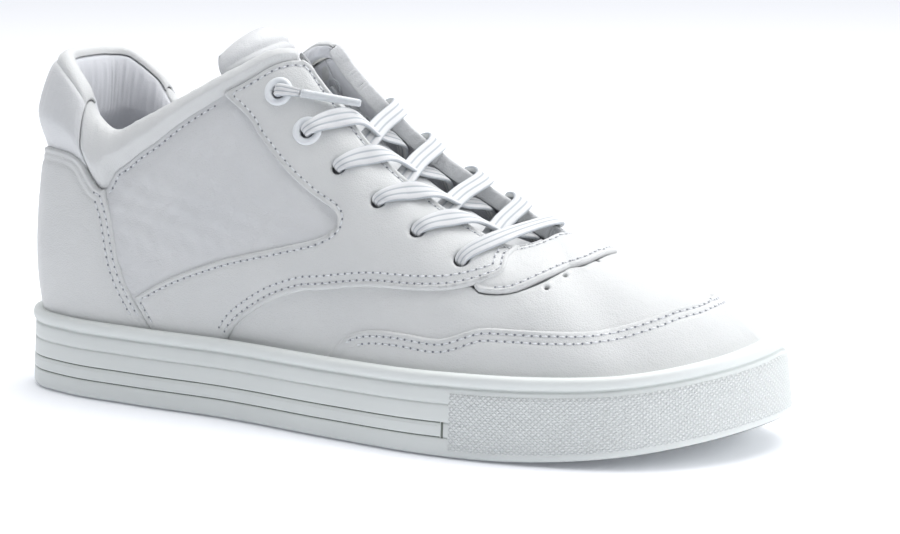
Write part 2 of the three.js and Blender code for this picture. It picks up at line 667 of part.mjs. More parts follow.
// Both sides in one run from the lateral end, round the heel, to the medial end.
function collarRoute(fromQ, toQ, side) {
  const run = [fromQ, ...stations.filter((q) => q > fromQ + 0.005 && q < toQ - 0.005), toQ];
  if (side !== undefined) return run.map((q) => [side, q]);
  return [...run.slice(1).reverse().map((q) => [LATERAL, q]), ...run.map((q) => [MEDIAL, q])];
}

function collarSkin(route, fromAngle, toAngle, thickness) {
  const angles = steps(fromAngle * Math.PI, toAngle * Math.PI, Math.max(2, Math.round((toAngle - fromAngle) * 14)));
  const grid = (offset) => route.map(([side, q]) => angles.map((angle) => collarPoint(side, q, angle, offset)));
  return plate(grid(thickness), grid(0));
}

const dartQ = 0.17;              // where the heel's cover meets the side bands
const collarEnd = throatCorner - 0.004;
const coverTop = 0.36;           // share of the half turn that the heel's cover takes
const rollTop = 0.6;             // and where the lining starts
const angleGap = 0.012;
const coverFoot = 0.02;
const foamEdge = 0.09;
const foamGap = 3 * clearance;  // the foam's flats are longer than the skin's
add('collar_cover_heel', collarSkin(collarRoute(0, dartQ), coverFoot, coverTop, leather), whiteLeather());
add('collar_binding', collarSkin(collarRoute(0, dartQ), coverTop + angleGap * 2, rollTop, leather), whiteLeather());
[LATERAL, MEDIAL].forEach((side) => {
  add(`collar_cover_${sideNames[side]}`, collarSkin(
    collarRoute(dartQ + 2 * gapQ, collarEnd, side), coverFoot, rollTop, leather), whiteLeather());
});
add('collar_lining', collarSkin(
  collarRoute(0, collarEnd), rollTop + angleGap * 2, 1, liningThickness), liningLeather());
add('collar_foam', bar(collarRoute(0, collarEnd).map(([side, q]) => (
  steps(foamEdge * Math.PI, (1 - foamEdge) * Math.PI, 9).map((angle) => collarPoint(side, q, angle, -foamGap))))), foam());

// ---------------------------------------------------------------- tongue
// Along the tongue from its sewn root to its top: [share, x, z, half width, drop of the wings, thickness].
const tongueLine = curveThrough([
  [0, 228, 63.5, 12, 4, 3.2], [0.12, 212, 64.5, 17, 7, 4], [0.25, 192, 71, 21, 11, 5],
  [0.4, 168, 84, 22, 14, 6],
  [0.55, 148.5, 97, 21, 14, 6.5], [0.7, 130.5, 111, 18.5, 13, 7], [0.85, 113.5, 126, 16, 10, 8],
  [1, 98.7, 139.5, 17, 11, 8],
]);
// Across the tongue from -1 to 1 its wings fall away, square to its middle line.
function tonguePoint(along, across) {
  const step = 0.005;
  const [x, z, half, drop] = tongueLine(along);
  const [x0, z0] = tongueLine(along - step);
  const [x1, z1] = tongueLine(along + step);
  const down = new THREE.Vector2(-(z1 - z0), x1 - x0).normalize().multiplyScalar(drop * across ** 2);
  const width = half / sampleTongueHalf * tongueHalfWidth;
  return new THREE.Vector3((x + down.x) * gradeX, across * width * gradeY, (z + down.y) * gradeZ);
}
function tongueLayer(fromAlong, toAlong, edge, topDepth, bottomDepth) {
  const grid = (depth) => steps(fromAlong, toAlong, 10).map((along) => steps(-edge, edge, 8).map((across) => {
    const step = 0.004;
    const run = tonguePoint(Math.min(along + step, 1), across).sub(tonguePoint(Math.max(along - step, 0), across));
    const side = tonguePoint(along, across + step).sub(tonguePoint(along, across - step));
    const normal = side.cross(run).normalize();
    if (normal.z < 0) normal.negate();
    return tonguePoint(along, across).addScaledVector(normal, -depth(tongueLine(along)[4] * tongueThickness / 7));
  }));
  return plate(grid(topDepth), grid(bottomDepth));
}
add('tongue_cover', tongueLayer(0, 1, 1, () => 0, () => leather), whiteLeather());
add('tongue_foam', tongueLayer(0.2, 0.97, 0.93, () => leather + clearance,
  (full) => full - liningThickness - clearance), foam());
add('tongue_lining', tongueLayer(0, 1, 0.97, (full) => full - liningThickness, (full) => full), liningLeather());

// ---------------------------------------------------------------- eyelet rings
function eyeletRing() {
  const lift = overlayOutside + 0.5;
  const flange = ringOuter / 2;
  const bore = ringInner / 2;
  const barrel = eyeletHole / 2;
  const foot = liningInside - 0.6;
  const profile = [
    [bore, foot], [barrel, foot], [barrel, lift], [flange, lift], [flange - 0.3, lift + ringThickness],
    [bore + 0.3, lift + ringThickness], [bore, lift + ringThickness / 2], [bore, foot],
  ];
  const ring = new THREE.LatheGeometry(profile.map(([r, z]) => new THREE.Vector2(r, z)), 16);
  return ring.rotateX(Math.PI / 2);
}
[LATERAL, MEDIAL].forEach((side) => {
  eyelets.slice(0, ringCount).forEach(([q, v], i) => {
    add(`eyelet_ring_${sideNames[side]}_${i + 1}`, placeOnLast(eyeletRing(), side, q, v), plastic());
  });
});

// ---------------------------------------------------------------- lace
// One lace: out of the lateral top hole's underside, up through the second hole, and at each hole
// across the tongue, under the other flap and up through that side's next hole, over the lowest
// pair, and back the same way to the medial top hole.
const laceRadius = laceDiameter / 2;
const layersTop = overlayOutside;
const layersFoot = liningInside;
const underFlap = layersFoot - laceRadius - clearance;
// Where each hole's strand leaves over its own flap's edge, and dives under the other flap's, as q
// on the throat's edge, from the second hole down.
const leaveAt = [0.583, 0.63, 0.677, 0.713];
const diveAt = [0.602, 0.652, 0.688, 0.735];

const holeTop = (i) => layersTop + (i < ringCount ? ringThickness + 2 * clearance : 0);
const atHole = (side, i, offset) => offLast(side, eyelets[i][0], eyelets[i][1], offset);
const atEdge = (side, q, offset) => offLast(side, q, 1, offset);
const tongueTop = (x) => {
  const along = steps(0, 1, 200).find((share) => tongueLine(share)[0] * gradeX <= x);
  return tongueLine(along)[1] * gradeZ;
};

// The strand that rises at one hole and ends under the next hole of the other side.
function strand(side, i) {
  const other = 1 - side;
  const k = i - 1;
  const leave = atEdge(side, leaveAt[k], layersTop + laceRadius + 1.2);
  const dive = atEdge(other, diveAt[k], underFlap - 0.4);
  const centre = leave.clone().lerp(dive, 0.5);
  const level = side === MEDIAL ? 3 * laceRadius + 2 * clearance : laceRadius;
  centre.z = Math.max(tongueTop(centre.x) + level + 2 * clearance, centre.z + (side === MEDIAL ? 1 : -1) * 1.2);
  return [
    atHole(side, i, underFlap), atHole(side, i, layersFoot), atHole(side, i, holeTop(i)),
    atHole(side, i, holeTop(i) + laceRadius + 1.4).lerp(leave, 0.12), leave, centre, dive,
  ];
}
function half(startSide) {
  const stitch = (share, depth) => atHole(startSide, 0, underFlap - depth)
    .lerp(atHole(startSide, 1, underFlap - depth), share);
  const points = [stitch(0, 0.7), stitch(0.35, 1.6), stitch(0.7, 1.4)];
  let side = startSide;
  for (let i = 1; i < eyelets.length - 1; i += 1) {
    points.push(...strand(side, i));
    side = 1 - side;
  }
  const lowest = eyelets.length - 1;
  points.push(atHole(side, lowest, underFlap), atHole(side, lowest, layersFoot), atHole(side, lowest, layersTop));
  points.push(atHole(side, lowest, layersTop + laceRadius + 1).lerp(atEdge(side, 0.75, 4), 0.15));
  points.push(atEdge(side, 0.75, layersTop + laceRadius + 1.5));
  return points;
}
const lacePath = new THREE.CatmullRomCurve3([...half(LATERAL), ...half(MEDIAL).reverse()], false, 'centripetal');

function cordAlong(path, diameter, count) {
  const section = new THREE.Shape();
  section.absarc(0, 0, diameter / 2, 0, 2 * Math.PI);
  return new THREE.ExtrudeGeometry(section, { steps: count, curveSegments: 4, extrudePath: path, bevelEnabled: false });
}
const laceSteps = 112;
add('lace', cordAlong(lacePath, laceDiameter, laceSteps), laceCotton());

// Each end comes up through the top hole, turns, and carries a hard tip.
const tailRise = 5.2;
const tailReach = 9;
const tailHeading = [new THREE.Vector3(0.74, 0.62, -0.26), new THREE.Vector3(0.72, -0.1, -0.69)];
[LATERAL, MEDIAL].forEach((side) => {
  const [q, v] = eyelets[0];
  const normal = lastNormal(side, q, v);
  const heading = tailHeading[side].clone().normalize();
  heading.addScaledVector(normal, 0.05 - heading.dot(normal) * (side === MEDIAL ? 1 : 0.5)).normalize();
  const at = (rise, run) => lastPoint(side, q, v).addScaledVector(normal, rise).addScaledVector(heading, run);
  const path = new THREE.CatmullRomCurve3([
    at(layersFoot, 0), at(0, 0), at(layersTop + 1, 0), at(tailRise - 0.6, 1.2), at(tailRise, 3.5), at(tailRise, 6),
    at(tailRise, tailReach),
  ], false, 'centripetal');
  add(`lace_tail_${sideNames[side]}`, cordAlong(path, laceDiameter, 12), laceCotton());
  const aglet = new THREE.CylinderGeometry(agletDiameter / 2, agletDiameter / 2 * 0.85, agletLength, 12);
  aglet.applyQuaternion(new THREE.Quaternion().setFromUnitVectors(new THREE.Vector3(0, -1, 0), heading));
  const middle = at(tailRise, tailReach + clearance + agletLength / 2);
  aglet.translate(middle.x, middle.y, middle.z);
  add(`aglet_${sideNames[side]}`, aglet, plastic());
});

// The footprint's centre becomes the origin.
const footprint = new THREE.Box3().setFromObject(shoe);
shoe.position.set(-(footprint.min.x + footprint.max.x) / 2, -(footprint.min.y + footprint.max.y) / 2, 0);

export default shoe;
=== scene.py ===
import math
import bmesh
import bpy
import numpy as np
from mathutils import Matrix, Vector


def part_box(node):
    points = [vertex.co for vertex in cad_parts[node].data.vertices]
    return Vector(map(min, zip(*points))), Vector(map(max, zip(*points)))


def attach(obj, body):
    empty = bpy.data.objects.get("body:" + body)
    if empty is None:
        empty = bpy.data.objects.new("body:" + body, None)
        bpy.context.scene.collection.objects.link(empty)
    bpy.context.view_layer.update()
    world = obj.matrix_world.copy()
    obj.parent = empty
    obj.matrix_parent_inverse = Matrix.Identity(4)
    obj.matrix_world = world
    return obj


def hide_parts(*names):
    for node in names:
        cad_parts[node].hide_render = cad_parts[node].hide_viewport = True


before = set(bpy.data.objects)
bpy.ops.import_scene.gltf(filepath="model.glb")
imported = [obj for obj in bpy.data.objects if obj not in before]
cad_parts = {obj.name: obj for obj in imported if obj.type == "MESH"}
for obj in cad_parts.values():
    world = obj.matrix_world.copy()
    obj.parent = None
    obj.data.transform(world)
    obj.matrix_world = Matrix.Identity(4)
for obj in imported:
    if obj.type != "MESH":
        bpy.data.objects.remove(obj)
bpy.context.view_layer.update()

# ---------------------------------------------------------------- the room
# A pale seamless floor under soft studio light, with the camera low at the outer side of the
# toe. Nothing here belongs to the shoe.
scene = bpy.context.scene
scene.view_settings.view_transform = "Standard"

azimuth = math.radians(28.6)
elevation = math.radians(9.8)
distance = 1.0
look_at = Vector((0.0261, 0.00055, 0.0553))
lens_millimetres = 110.8

level_reach = math.cos(elevation)
back = Vector((math.sin(azimuth) * level_reach, -math.cos(azimuth) * level_reach, math.sin(elevation)))
camera_data = bpy.data.cameras.new("camera")
camera_data.lens = lens_millimetres
camera_data.sensor_width = 36.0
camera_data.clip_end = 30.0
camera = bpy.data.objects.new("camera", camera_data)
camera.location = look_at + back * distance
camera.rotation_euler = back.to_track_quat("Z", "Y").to_euler()
scene.collection.objects.link(camera)
scene.camera = camera


def linear(colour):
    """An sRGB hex colour as linear RGBA."""
    parts = [int(colour[i:i + 2], 16) / 255 for i in (1, 3, 5)]
    return (*[c / 12.92 if c <= 0.04045 else ((c + 0.055) / 1.055) ** 2.4 for c in parts], 1.0)


def new_material(name):
    made = bpy.data.materials.new(name)
    made.use_nodes = True
    made.node_tree.nodes.clear()
    return made


def add_node(made, kind, links=None, **settings):
    """Adds one node: settings are attributes or input values, links are input name: output socket."""
    node = made.node_tree.nodes.new(kind)
    for key, value in settings.items():
        if hasattr(node, key):
            setattr(node, key, value)
    for key, value in settings.items():
        if not hasattr(node, key):
            node.inputs[key.replace("_", " ")].default_value = value
    for key, socket in (links or {}).items():
        made.node_tree.links.new(socket, node.inputs[key])
    return node


def two_tones(made, share, first, second):
    """A colour that runs from one hex colour to another with the share."""
    mix = add_node(made, "ShaderNodeMix", {"Factor": share}, data_type="RGBA")
    mix.inputs[6].default_value = linear(first)
    mix.inputs[7].default_value = linear(second)
    return mix.outputs[2]


def dress(made, colour, normal=None, **settings):
    """Ends a material in its shader and output, and returns the shader."""
    links = {"Base Color": colour}
    if normal:
        links["Normal"] = normal
    shader = add_node(made, "ShaderNodeBsdfPrincipled", links, **settings)
    add_node(made, "ShaderNodeOutputMaterial", {"Surface": shader.outputs[0]})
    return shader


def area_light(name, place, size, power, colour):
    data = bpy.data.lights.new(name, "AREA")
    data.shape = "RECTANGLE"
    data.size, data.size_y = size
    data.energy = power
    data.color = linear(colour)[:3]
    lamp = bpy.data.objects.new(name, data)
    lamp.location = place
    lamp.rotation_euler = (Vector(place) - Vector((0, 0, 0.05))).to_track_quat("Z", "Y").to_euler()
    scene.collection.objects.link(lamp)


area_light("softbox_above", (0.1, 0.35, 1.5), (1.5, 1.2), 18.0, "#ffffff")
area_light("softbox_toe", (1.5, 0.2, 0.7), (0.9, 0.9), 9.0, "#fbfcff")
area_light("softbox_front", (-0.3, -1.7, 0.7), (1.2, 0.9), 2.2, "#eef2ff")

world = bpy.data.worlds.new("studio")
scene.world = world
world.use_nodes = True
background = world.node_tree.nodes["Background"]
background.inputs["Color"].default_value = linear("#fbfcff")
direction = add_node(world, "ShaderNodeTexCoord").outputs["Generated"]
facing = add_node(world, "ShaderNodeVectorMath", {0: direction}, operation="DOT_PRODUCT")
facing.inputs[1].default_value = (-0.12, 0.55, 0.83)
sky = add_node(world, "ShaderNodeMapRange", {"Value": facing.outputs["Value"]},
               interpolation_type="SMOOTHSTEP")
sky.inputs["From Min"].default_value = -0.30
sky.inputs["From Max"].default_value = 0.85
sky.inputs["To Min"].default_value = 0.02
sky.inputs["To Max"].default_value = 1.0
world.node_tree.links.new(sky.outputs[0], background.inputs["Strength"])

floor_mesh = bmesh.new()
bmesh.ops.create_grid(floor_mesh, x_segments=2, y_segments=2, size=6.0)
bmesh.ops.translate(floor_mesh, verts=floor_mesh.verts, vec=(0, 0, -0.0004))
floor_data = bpy.data.meshes.new("floor")
floor_mesh.to_mesh(floor_data)
floor = bpy.data.objects.new("floor", floor_data)
scene.collection.objects.link(floor)
# Matte studio paper: white, with no gloss. It also glows faintly bluish: painted light that lifts the floor's
# shade and lights the shoe from below.
paper = new_material("studio_paper_matte")
paper_noise = add_node(paper, "ShaderNodeTexNoise", Scale=3.0, Detail=2.0)
paper_tint = two_tones(paper, paper_noise.outputs["Fac"], "#fcfdff", "#f6f8fc")
glowing_paper_shader = dress(paper, paper_tint, Roughness=0.9)
# A faint bluish glow: painted light, which makes the paper act as a weak lamp under the shoe.
glowing_paper_shader.inputs["Emission Color"].default_value = linear("#f2f4ff")
glowing_paper_shader.inputs["Emission Strength"].default_value = 0.08
floor_data.materials.append(paper)

# ---------------------------------------------------------------- cup sole
# One moulded rubber cup, off-white, that the whole upper is glued and stitched into. Its wall
# ends in a rounded lip, with moulded lines round it, and the outsole's tread is underneath.
mm = 0.001
heel_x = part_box("cupsole")[0][0] / mm
middle_y = 0.498
sole_length = 303.0
spring_start = 210.0
toe_spring = 11.0
wall_heights = [(0, 29.7), (0.3, 28.7), (0.6, 29.0), (0.8, 31.5), (0.9, 35.4), (1, 39.3)]
LATERAL, MEDIAL = 0, 1
side_sign = (-1.0, 1.0)
side_name = ("lateral", "medial")


def curve_through(rows):
    """A smooth curve through rows of (parameter, values...), read at an array of parameters."""
    rows = np.array(rows, float)
    at, values = rows[:, 0], rows[:, 1:]
    slopes = np.zeros_like(values)
    slopes[0] = (values[1] - values[0]) / (at[1] - at[0])
    slopes[-1] = (values[-1] - values[-2]) / (at[-1] - at[-2])
    before, after = (at[1:-1] - at[:-2])[:, None], (at[2:] - at[1:-1])[:, None]
    from_last = (values[1:-1] - values[:-2]) / before
    to_next = (values[2:] - values[1:-1]) / after
    slopes[1:-1] = (from_last * after + to_next * before) / (before + after)

    def read(parameter):
        u = np.clip(np.asarray(parameter, float), at[0], at[-1])
        i = np.clip(np.searchsorted(at, u, side="left") - 1, 0, len(at) - 2)
        span = at[i + 1] - at[i]
        s = ((u - at[i]) / span)[..., None]
        span = span[..., None]
        start = 2 * s ** 3 - 3 * s ** 2 + 1
        leave = (s ** 3 - 2 * s ** 2 + s) * span
        arrive = (s ** 3 - s ** 2) * span
        return values[i] * start + slopes[i] * leave + values[i + 1] * (1 - start) + slopes[i + 1] * arrive

    return read


outlines = (
    curve_through([
        (-0.04, 2, 14), (0, 0, 0), (0.04, 2, -14), (0.085, 12, -28), (0.14, 31, -36), (0.225, 63, -40),
        (0.338, 105, -42.5), (0.482, 155, -51), (0.61, 200, -56.5), (0.723, 240, -52.5), (0.812, 270, -42),
        (0.886, 289, -25), (0.945, 299, -7), (1, 303, 12), (1.055, 299, 28)]),
    curve_through([
        (-0.04, 2, -14), (0, 0, 0), (0.04, 2, 14), (0.085, 12, 26.5), (0.14, 31, 34), (0.225, 63, 36.5),
        (0.338, 105, 36), (0.482, 155, 41), (0.61, 200, 51.5), (0.723, 235, 55.5), (0.812, 267, 51),
        (0.886, 288, 41), (0.945, 299, 28), (1, 303, 12), (1.055, 299, -7)]),
)
wall_height = curve_through(wall_heights)


def by_side(side, read):
    """Reads a pair of curves, one for each side, at arrays of side."""
    side = np.asarray(side)
    return np.where((side == LATERAL)[..., None], read(LATERAL), read(MEDIAL))


def outline(side, q):
    return by_side(side, lambda each: outlines[each](q))


def outline_normal(side, q):
    along = outline(side, q + 0.001) - outline(side, q - 0.001)
    along /= np.linalg.norm(along, axis=-1, keepdims=True)
    sign = np.where(np.asarray(side) == LATERAL, -1.0, 1.0)
    normal = np.stack([-sign * along[..., 1], sign * along[..., 0]], -1)
    normal[q <= 0] = (-1, 0)
    normal[q >= 1] = (1, 0)
    return normal


def spring(x):
    return toe_spring * (np.maximum(0, x - spring_start) / (sole_length - spring_start)) ** 2


def inset_point(side, q, inset):
    """A point in from the sole's outline, in plan."""
    return outline(side, q) - outline_normal(side, q) * np.asarray(inset, float)[..., None]


def smoothstep(x, low, high):
    t = np.clip((np.asarray(x, float) - low) / (high - low), 0, 1)
    return t * t * (3 - 2 * t)


def wall_point(side, q, share, out):
    """A point on the cup wall's outside, at a share of its height, pushed out by out."""
    side, q, share, out = np.broadcast_arrays(side, q, share, out)
    flare = 1.5 + 1.5 * smoothstep(q, 0.5, 0.95)
    plan = inset_point(side, q, flare * share - out)
    ground = spring(outline(side, q)[..., 0])
    height = ground + (wall_height(q)[..., 0] - ground) * share
    return np.concatenate([plan, height[..., None]], -1)


def placed(points):
    """Shoemaker's millimetres, from the heel forwards, as the frame's metres."""
    return (points + (heel_x, middle_y, 0.0)) * mm


def grid_mesh(columns, rows):
    """A flat grid in bmesh, with each vertex's place on it as two arrays from 0 to 1."""
    made = bmesh.new()
    bmesh.ops.create_grid(made, x_segments=columns, y_segments=rows, size=0.5)
    flat = np.array([v.co[:2] for v in made.verts]) + 0.5
    return made, flat[:, 0], flat[:, 1]


def set_points(made, points):
    for vert, point in zip(made.verts, points):
        vert.co = point


def finish_piece(made, name, body, surface, smooth=True, weld=None):
    """Turns a bmesh into a piece that rides on a body, with one material or several."""
    if weld:
        bmesh.ops.remove_doubles(made, verts=made.verts, dist=weld * mm)
    data = bpy.data.meshes.new(name)
    made.to_mesh(data)
    made.free()
    for each in surface if isinstance(surface, (list, tuple)) else [surface]:
        data.materials.append(each)
    data.polygons.foreach_set("use_smooth", [smooth] * len(data.polygons))
    piece = bpy.data.objects.new(name, data)
    scene.collection.objects.link(piece)
    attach(piece, body)
    return piece


def face_out(made):
    bmesh.ops.recalc_face_normals(made, faces=made.faces)


def route(t, end=1.0, start=0.0):
    """Round the toe or the heel: t runs from the lateral start through the end to the medial start."""
    side = np.where(t <= 0.5, LATERAL, MEDIAL)
    q = start + (end - start) * (1 - np.abs(2 * t - 1))
    return side, q


# Moulded rubber: dull and slightly green-grey, with a fine satin skin.
rubber = new_material("rubber_moulded_offwhite")
where = add_node(rubber, "ShaderNodeTexCoord").outputs["Object"]
skin = add_node(rubber, "ShaderNodeTexNoise", {"Vector": where}, Scale=2200.0, Detail=2.0)
cloud = add_node(rubber, "ShaderNodeTexNoise", {"Vector": where}, Scale=26.0, Detail=3.0)
tint = two_tones(rubber, cloud.outputs["Fac"], "#e4e8e6", "#dde1df")
bump = add_node(rubber, "ShaderNodeBump", {"Height": skin.outputs["Fac"]}, Strength=0.35, Distance=0.00004)
dress(rubber, tint, bump.outputs[0], Roughness=0.52, IOR=1.52)

# Painted in the groove: a dark grey-green ink that stops at the toe bumper.
groove_ink = new_material("ink_grey_green_matte")
where = add_node(groove_ink, "ShaderNodeTexCoord").outputs["Object"]
speck = add_node(groove_ink, "ShaderNodeTexNoise", {"Vector": where}, Scale=900.0, Detail=2.0)
tint = two_tones(groove_ink, speck.outputs["Fac"], "#5c625c", "#7e857e")
dress(groove_ink, tint, Roughness=0.7)

# The wall's section from the ground to the lip: share of the height, and how far out it stands.
pin_low, pin_high = 0.235, 0.41
line_low, line_high = 0.634, 0.836


def groove(share, depth, width):
    half = width / 2
    return [(share - half * 1.5, 0), (share - half, -0.2 * depth), (share - half * 0.6, -depth),
            (share + half * 0.6, -depth), (share + half, -0.2 * depth), (share + half * 1.5, 0)]


wall_section = [
    (0, -1.8), (0.006, -1.0), (0.022, -0.35), (0.05, 0), (0.1, 0), (0.16, 0),
    *groove(pin_low, 0.5, 0.022), (0.28, 0), (0.35, 0), *groove(pin_high, 0.5, 0.022), (0.47, 0), (0.55, 0),
    *groove(line_low, 0.55, 0.03), (0.7, 0), (0.76, 0.0), *groove(line_high, 0.8, 0.036)[:5],
    (0.866, 0.45), (0.885, 0.75), (0.91, 0.95), (0.94, 1.0), (0.965, 0.85), (0.985, 0.45), (0.997, -0.2),
    (1.0, -1.0), (1.0, -2.2), (0.985, -4.2), (0.95, -7.0),
]
section_at = np.array(wall_section)
wall_columns = 480

cup, along, up = grid_mesh(wall_columns, len(wall_section) - 1)
side, q = route(along)
row = np.rint(up * (len(wall_section) - 1)).astype(int)
set_points(cup, placed(wall_point(side, q, section_at[row, 0], section_at[row, 1])))
inked = {i for i, (share, out) in enumerate(wall_section[:-1])
         if out == -0.5 and min(abs(share - pin_low), abs(share - pin_high)) < 0.02}
ink_end = 0.6225
for face in cup.faces:
    corner = [v.index for v in face.verts]
    rows = sorted({int(row[i]) for i in corner})
    if rows[0] in inked and section_at[rows[-1], 1] == -0.5 and 0.03 < q[corner].max() < ink_end:
        face.material_index = 1
sole, along, across = grid_mesh(120, 36)
tread_inset = -1.8
edge = wall_point(LATERAL, along, 0.0, tread_inset) * (1 - across)[:, None]
edge = edge + wall_point(MEDIAL, along, 0.0, tread_inset) * across[:, None]
edge[:, 2] = spring(edge[:, 0])
set_points(sole, placed(edge))
bottom_data = bpy.data.meshes.new("outsole")
for face in sole.faces:
    face.material_index = 2
sole.to_mesh(bottom_data)
sole.free()
cup.from_mesh(bottom_data)

# Outsole tread: the same rubber, with shallow herringbone bars 5 mm apart; the grooves between the bars are
# painted darker: painted shade.
tread = new_material("rubber_tread_herringbone")
where = add_node(tread, "ShaderNodeTexCoord").outputs["Object"]
apart = add_node(tread, "ShaderNodeSeparateXYZ", {"Vector": where})
fold = add_node(tread, "ShaderNodeMath", {0: apart.outputs["Y"]}, operation="PINGPONG")
fold.inputs[1].default_value = 0.007
slant = add_node(tread, "ShaderNodeMath", {0: apart.outputs["X"], 1: fold.outputs[0]}, operation="ADD")
bars = add_node(tread, "ShaderNodeMath", {0: slant.outputs[0]}, operation="PINGPONG")
bars.inputs[1].default_value = 0.0025
ramp = add_node(tread, "ShaderNodeMapRange", {"Value": bars.outputs[0]}, interpolation_type="SMOOTHSTEP")
ramp.inputs["From Min"].default_value = 0.0006
ramp.inputs["From Max"].default_value = 0.0012
bump = add_node(tread, "ShaderNodeBump", {"Height": ramp.outputs[0]}, Strength=1.0, Distance=0.0012)
# Darker in the grooves between the bars: painted shade that follows the bump's height.
tint = two_tones(tread, ramp.outputs[0], "#c9cdca", "#dfe3e1")
dress(tread, tint, bump.outputs[0], Roughness=0.6)

bmesh.ops.remove_doubles(cup, verts=cup.verts, dist=0.05 * mm)
face_out(cup)
cup_piece = finish_piece(cup, "cup", "shoe", [rubber, groove_ink, tread])
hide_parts("cupsole")


# ---------------------------------------------------------------- toe bumper and heel patch
# Thin rubber bands moulded onto the wall: a finely knurled one round the toe, that takes the
# scuffs, and a small smooth one up the back of the heel. Both stand half a millimetre proud.
def wall_band(name, start, end, low, high, proud, surface, cell):
    columns = max(4, int(abs(end - start) * 354 * 2 / cell))
    made, along, up = grid_mesh(columns, 16)
    side, q = route(along, end, start)
    share = low + (high - low) * up
    edge = np.minimum(np.minimum(up, 1 - up) * 20, np.minimum(along, 1 - along) * abs(end - start) * 354 * 2)
    out = proud - (proud + 1.0) * (1 - np.clip(edge / 1.0, 0, 1)) ** 3
    set_points(made, placed(wall_point(side, q, share, out)))
    layer = made.loops.layers.uv.new("wall_mm")
    for face in made.faces:
        for loop in face.loops:
            i = loop.vert.index
            loop[layer].uv = (along[i] * abs(end - start) * 354 * 2, share[i] * 29.0)
    face_out(made)
    return finish_piece(made, name, "shoe", surface)


# Knurled rubber: crossed diagonal ridges about 1.6 mm apart that catch the light as a fine lattice. The
# hollows between the ridges are also painted darker than the ridge tops: painted shade.
knurl_pitch = 1.05
knurled = new_material("rubber_knurled_offwhite")
flat = add_node(knurled, "ShaderNodeUVMap", uv_map="wall_mm")
apart = add_node(knurled, "ShaderNodeSeparateXYZ", {"Vector": flat.outputs[0]})
steep = add_node(knurled, "ShaderNodeMath", {0: apart.outputs["Y"]}, operation="MULTIPLY")
steep.inputs[1].default_value = 1.15
ridges = []
for operation in ("ADD", "SUBTRACT"):
    slant = add_node(knurled, "ShaderNodeMath", {0: apart.outputs["X"], 1: steep.outputs[0]},
                     operation=operation)
    ridge = add_node(knurled, "ShaderNodeMath", {0: slant.outputs[0]}, operation="PINGPONG")
    ridge.inputs[1].default_value = knurl_pitch
    ridges.append(ridge.outputs[0])
lattice = add_node(knurled, "ShaderNodeMath", {0: ridges[0], 1: ridges[1]}, operation="MINIMUM")
level = add_node(knurled, "ShaderNodeMapRange", {"Value": lattice.outputs[0]})
level.inputs["From Max"].default_value = knurl_pitch * 0.7
bump = add_node(knurled, "ShaderNodeBump", {"Height": level.outputs[0]}, Strength=1.0, Distance=0.00036)
# Darker in the lattice's hollows, lighter on the ridges: painted shade that follows the bump's height.
tint = two_tones(knurled, level.outputs[0], "#dadedd", "#e8ebea")
dress(knurled, tint, bump.outputs[0], Roughness=0.5, IOR=1.52)

bumper = wall_band("bumper", 0.628, 1.0, 0.06, 0.8, 0.5, knurled, 1.2)
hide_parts("toe_bumper")
patch = wall_band("patch", 0.03, 0.0, 0.06, 0.8, 0.5, rubber, 0.8)
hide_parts("heel_patch")


# ---------------------------------------------------------------- sidewall stripes
# A flat rubber strip along each side of the wall, lying between the two inked lines.
def stripe(side):
    made, along, up = grid_mesh(140, 8)
    q = 0.05 + (0.6185 - 0.05) * along
    share = pin_low + 0.016 + (pin_high - pin_low - 0.032) * up
    out = 0.12 - 1.0 * (1 - np.clip(np.minimum(up, 1 - up) * 9, 0, 1)) ** 3
    set_points(made, placed(wall_point(side, q, share, out)))
    face_out(made)
    piece = finish_piece(made, f"stripe_{side_name[side]}", "shoe", rubber)
    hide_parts(f"sidewall_stripe_{side_name[side]}")
    # The inked line that closes the two lines off in front of the bumper.
    made, along, up = grid_mesh(3, 10)
    set_points(made, placed(wall_point(
        side, ink_end + 0.0025 * along, pin_low - 0.008 + (pin_high - pin_low + 0.016) * up, 0.06)))
    face_out(made)
    stop = finish_piece(made, f"stripe_end_{side_name[side]}", "shoe", groove_ink)


stripe(LATERAL)
stripe(MEDIAL)

# ---------------------------------------------------------------- leather panels of the upper
# Smooth white cowhide in overlapping panels, each cut flat, pulled over the last and stitched
# down near its edges. The edges are skived and turned, so they look soft and rounded.
throat_corner, ridge_start, toe_turn = 0.495, 0.83, 8.0
cup_wall, leather = 5.5, 1.2
footbed_heel, footbed_ball = 22.0, 15.0
overlay_out = 0.3 + leather
topline = curve_through([
    (-0.05, 17, -13, 126), (0, 16, 0, 126.5), (0.05, 17, 13, 126), (0.1, 24, 22, 124), (0.15, 35, 27, 115),
    (0.2, 43, 28.5, 104.5),
    (0.24, 51, 29, 100), (0.3, 64, 28.5, 105), (0.36, 81, 26, 114), (0.42, 101, 21, 125),
    (0.47, 116, 15.5, 132), (throat_corner, 123, 12.5, 131), (0.52, 129, 12.5, 124), (0.56, 138, 13.5, 114.5),
    (0.6, 151, 16, 102), (0.65, 167, 18.5, 90), (0.69, 185, 20, 79.5), (0.73, 201, 20.5, 71.5),
    (0.76, 211, 19, 67.5), (0.785, 217, 13, 68), (0.81, 220, 6, 69.5), (ridge_start, 221, 0, 70.5),
    (0.87, 229, 0, 68.5), (0.91, 239, 0, 65.5), (0.96, 252, 0, 61), (1, 261, 0, 57.5)])
low_pull = curve_through([
    (0, 28, 9), (0.1, 28, 8), (0.225, 26, 4), (0.4, 26, 1.5), (0.6, 18, 3), (0.72, 13, 3.5), (0.85, 12, 3),
    (1, 12, 2.5)])
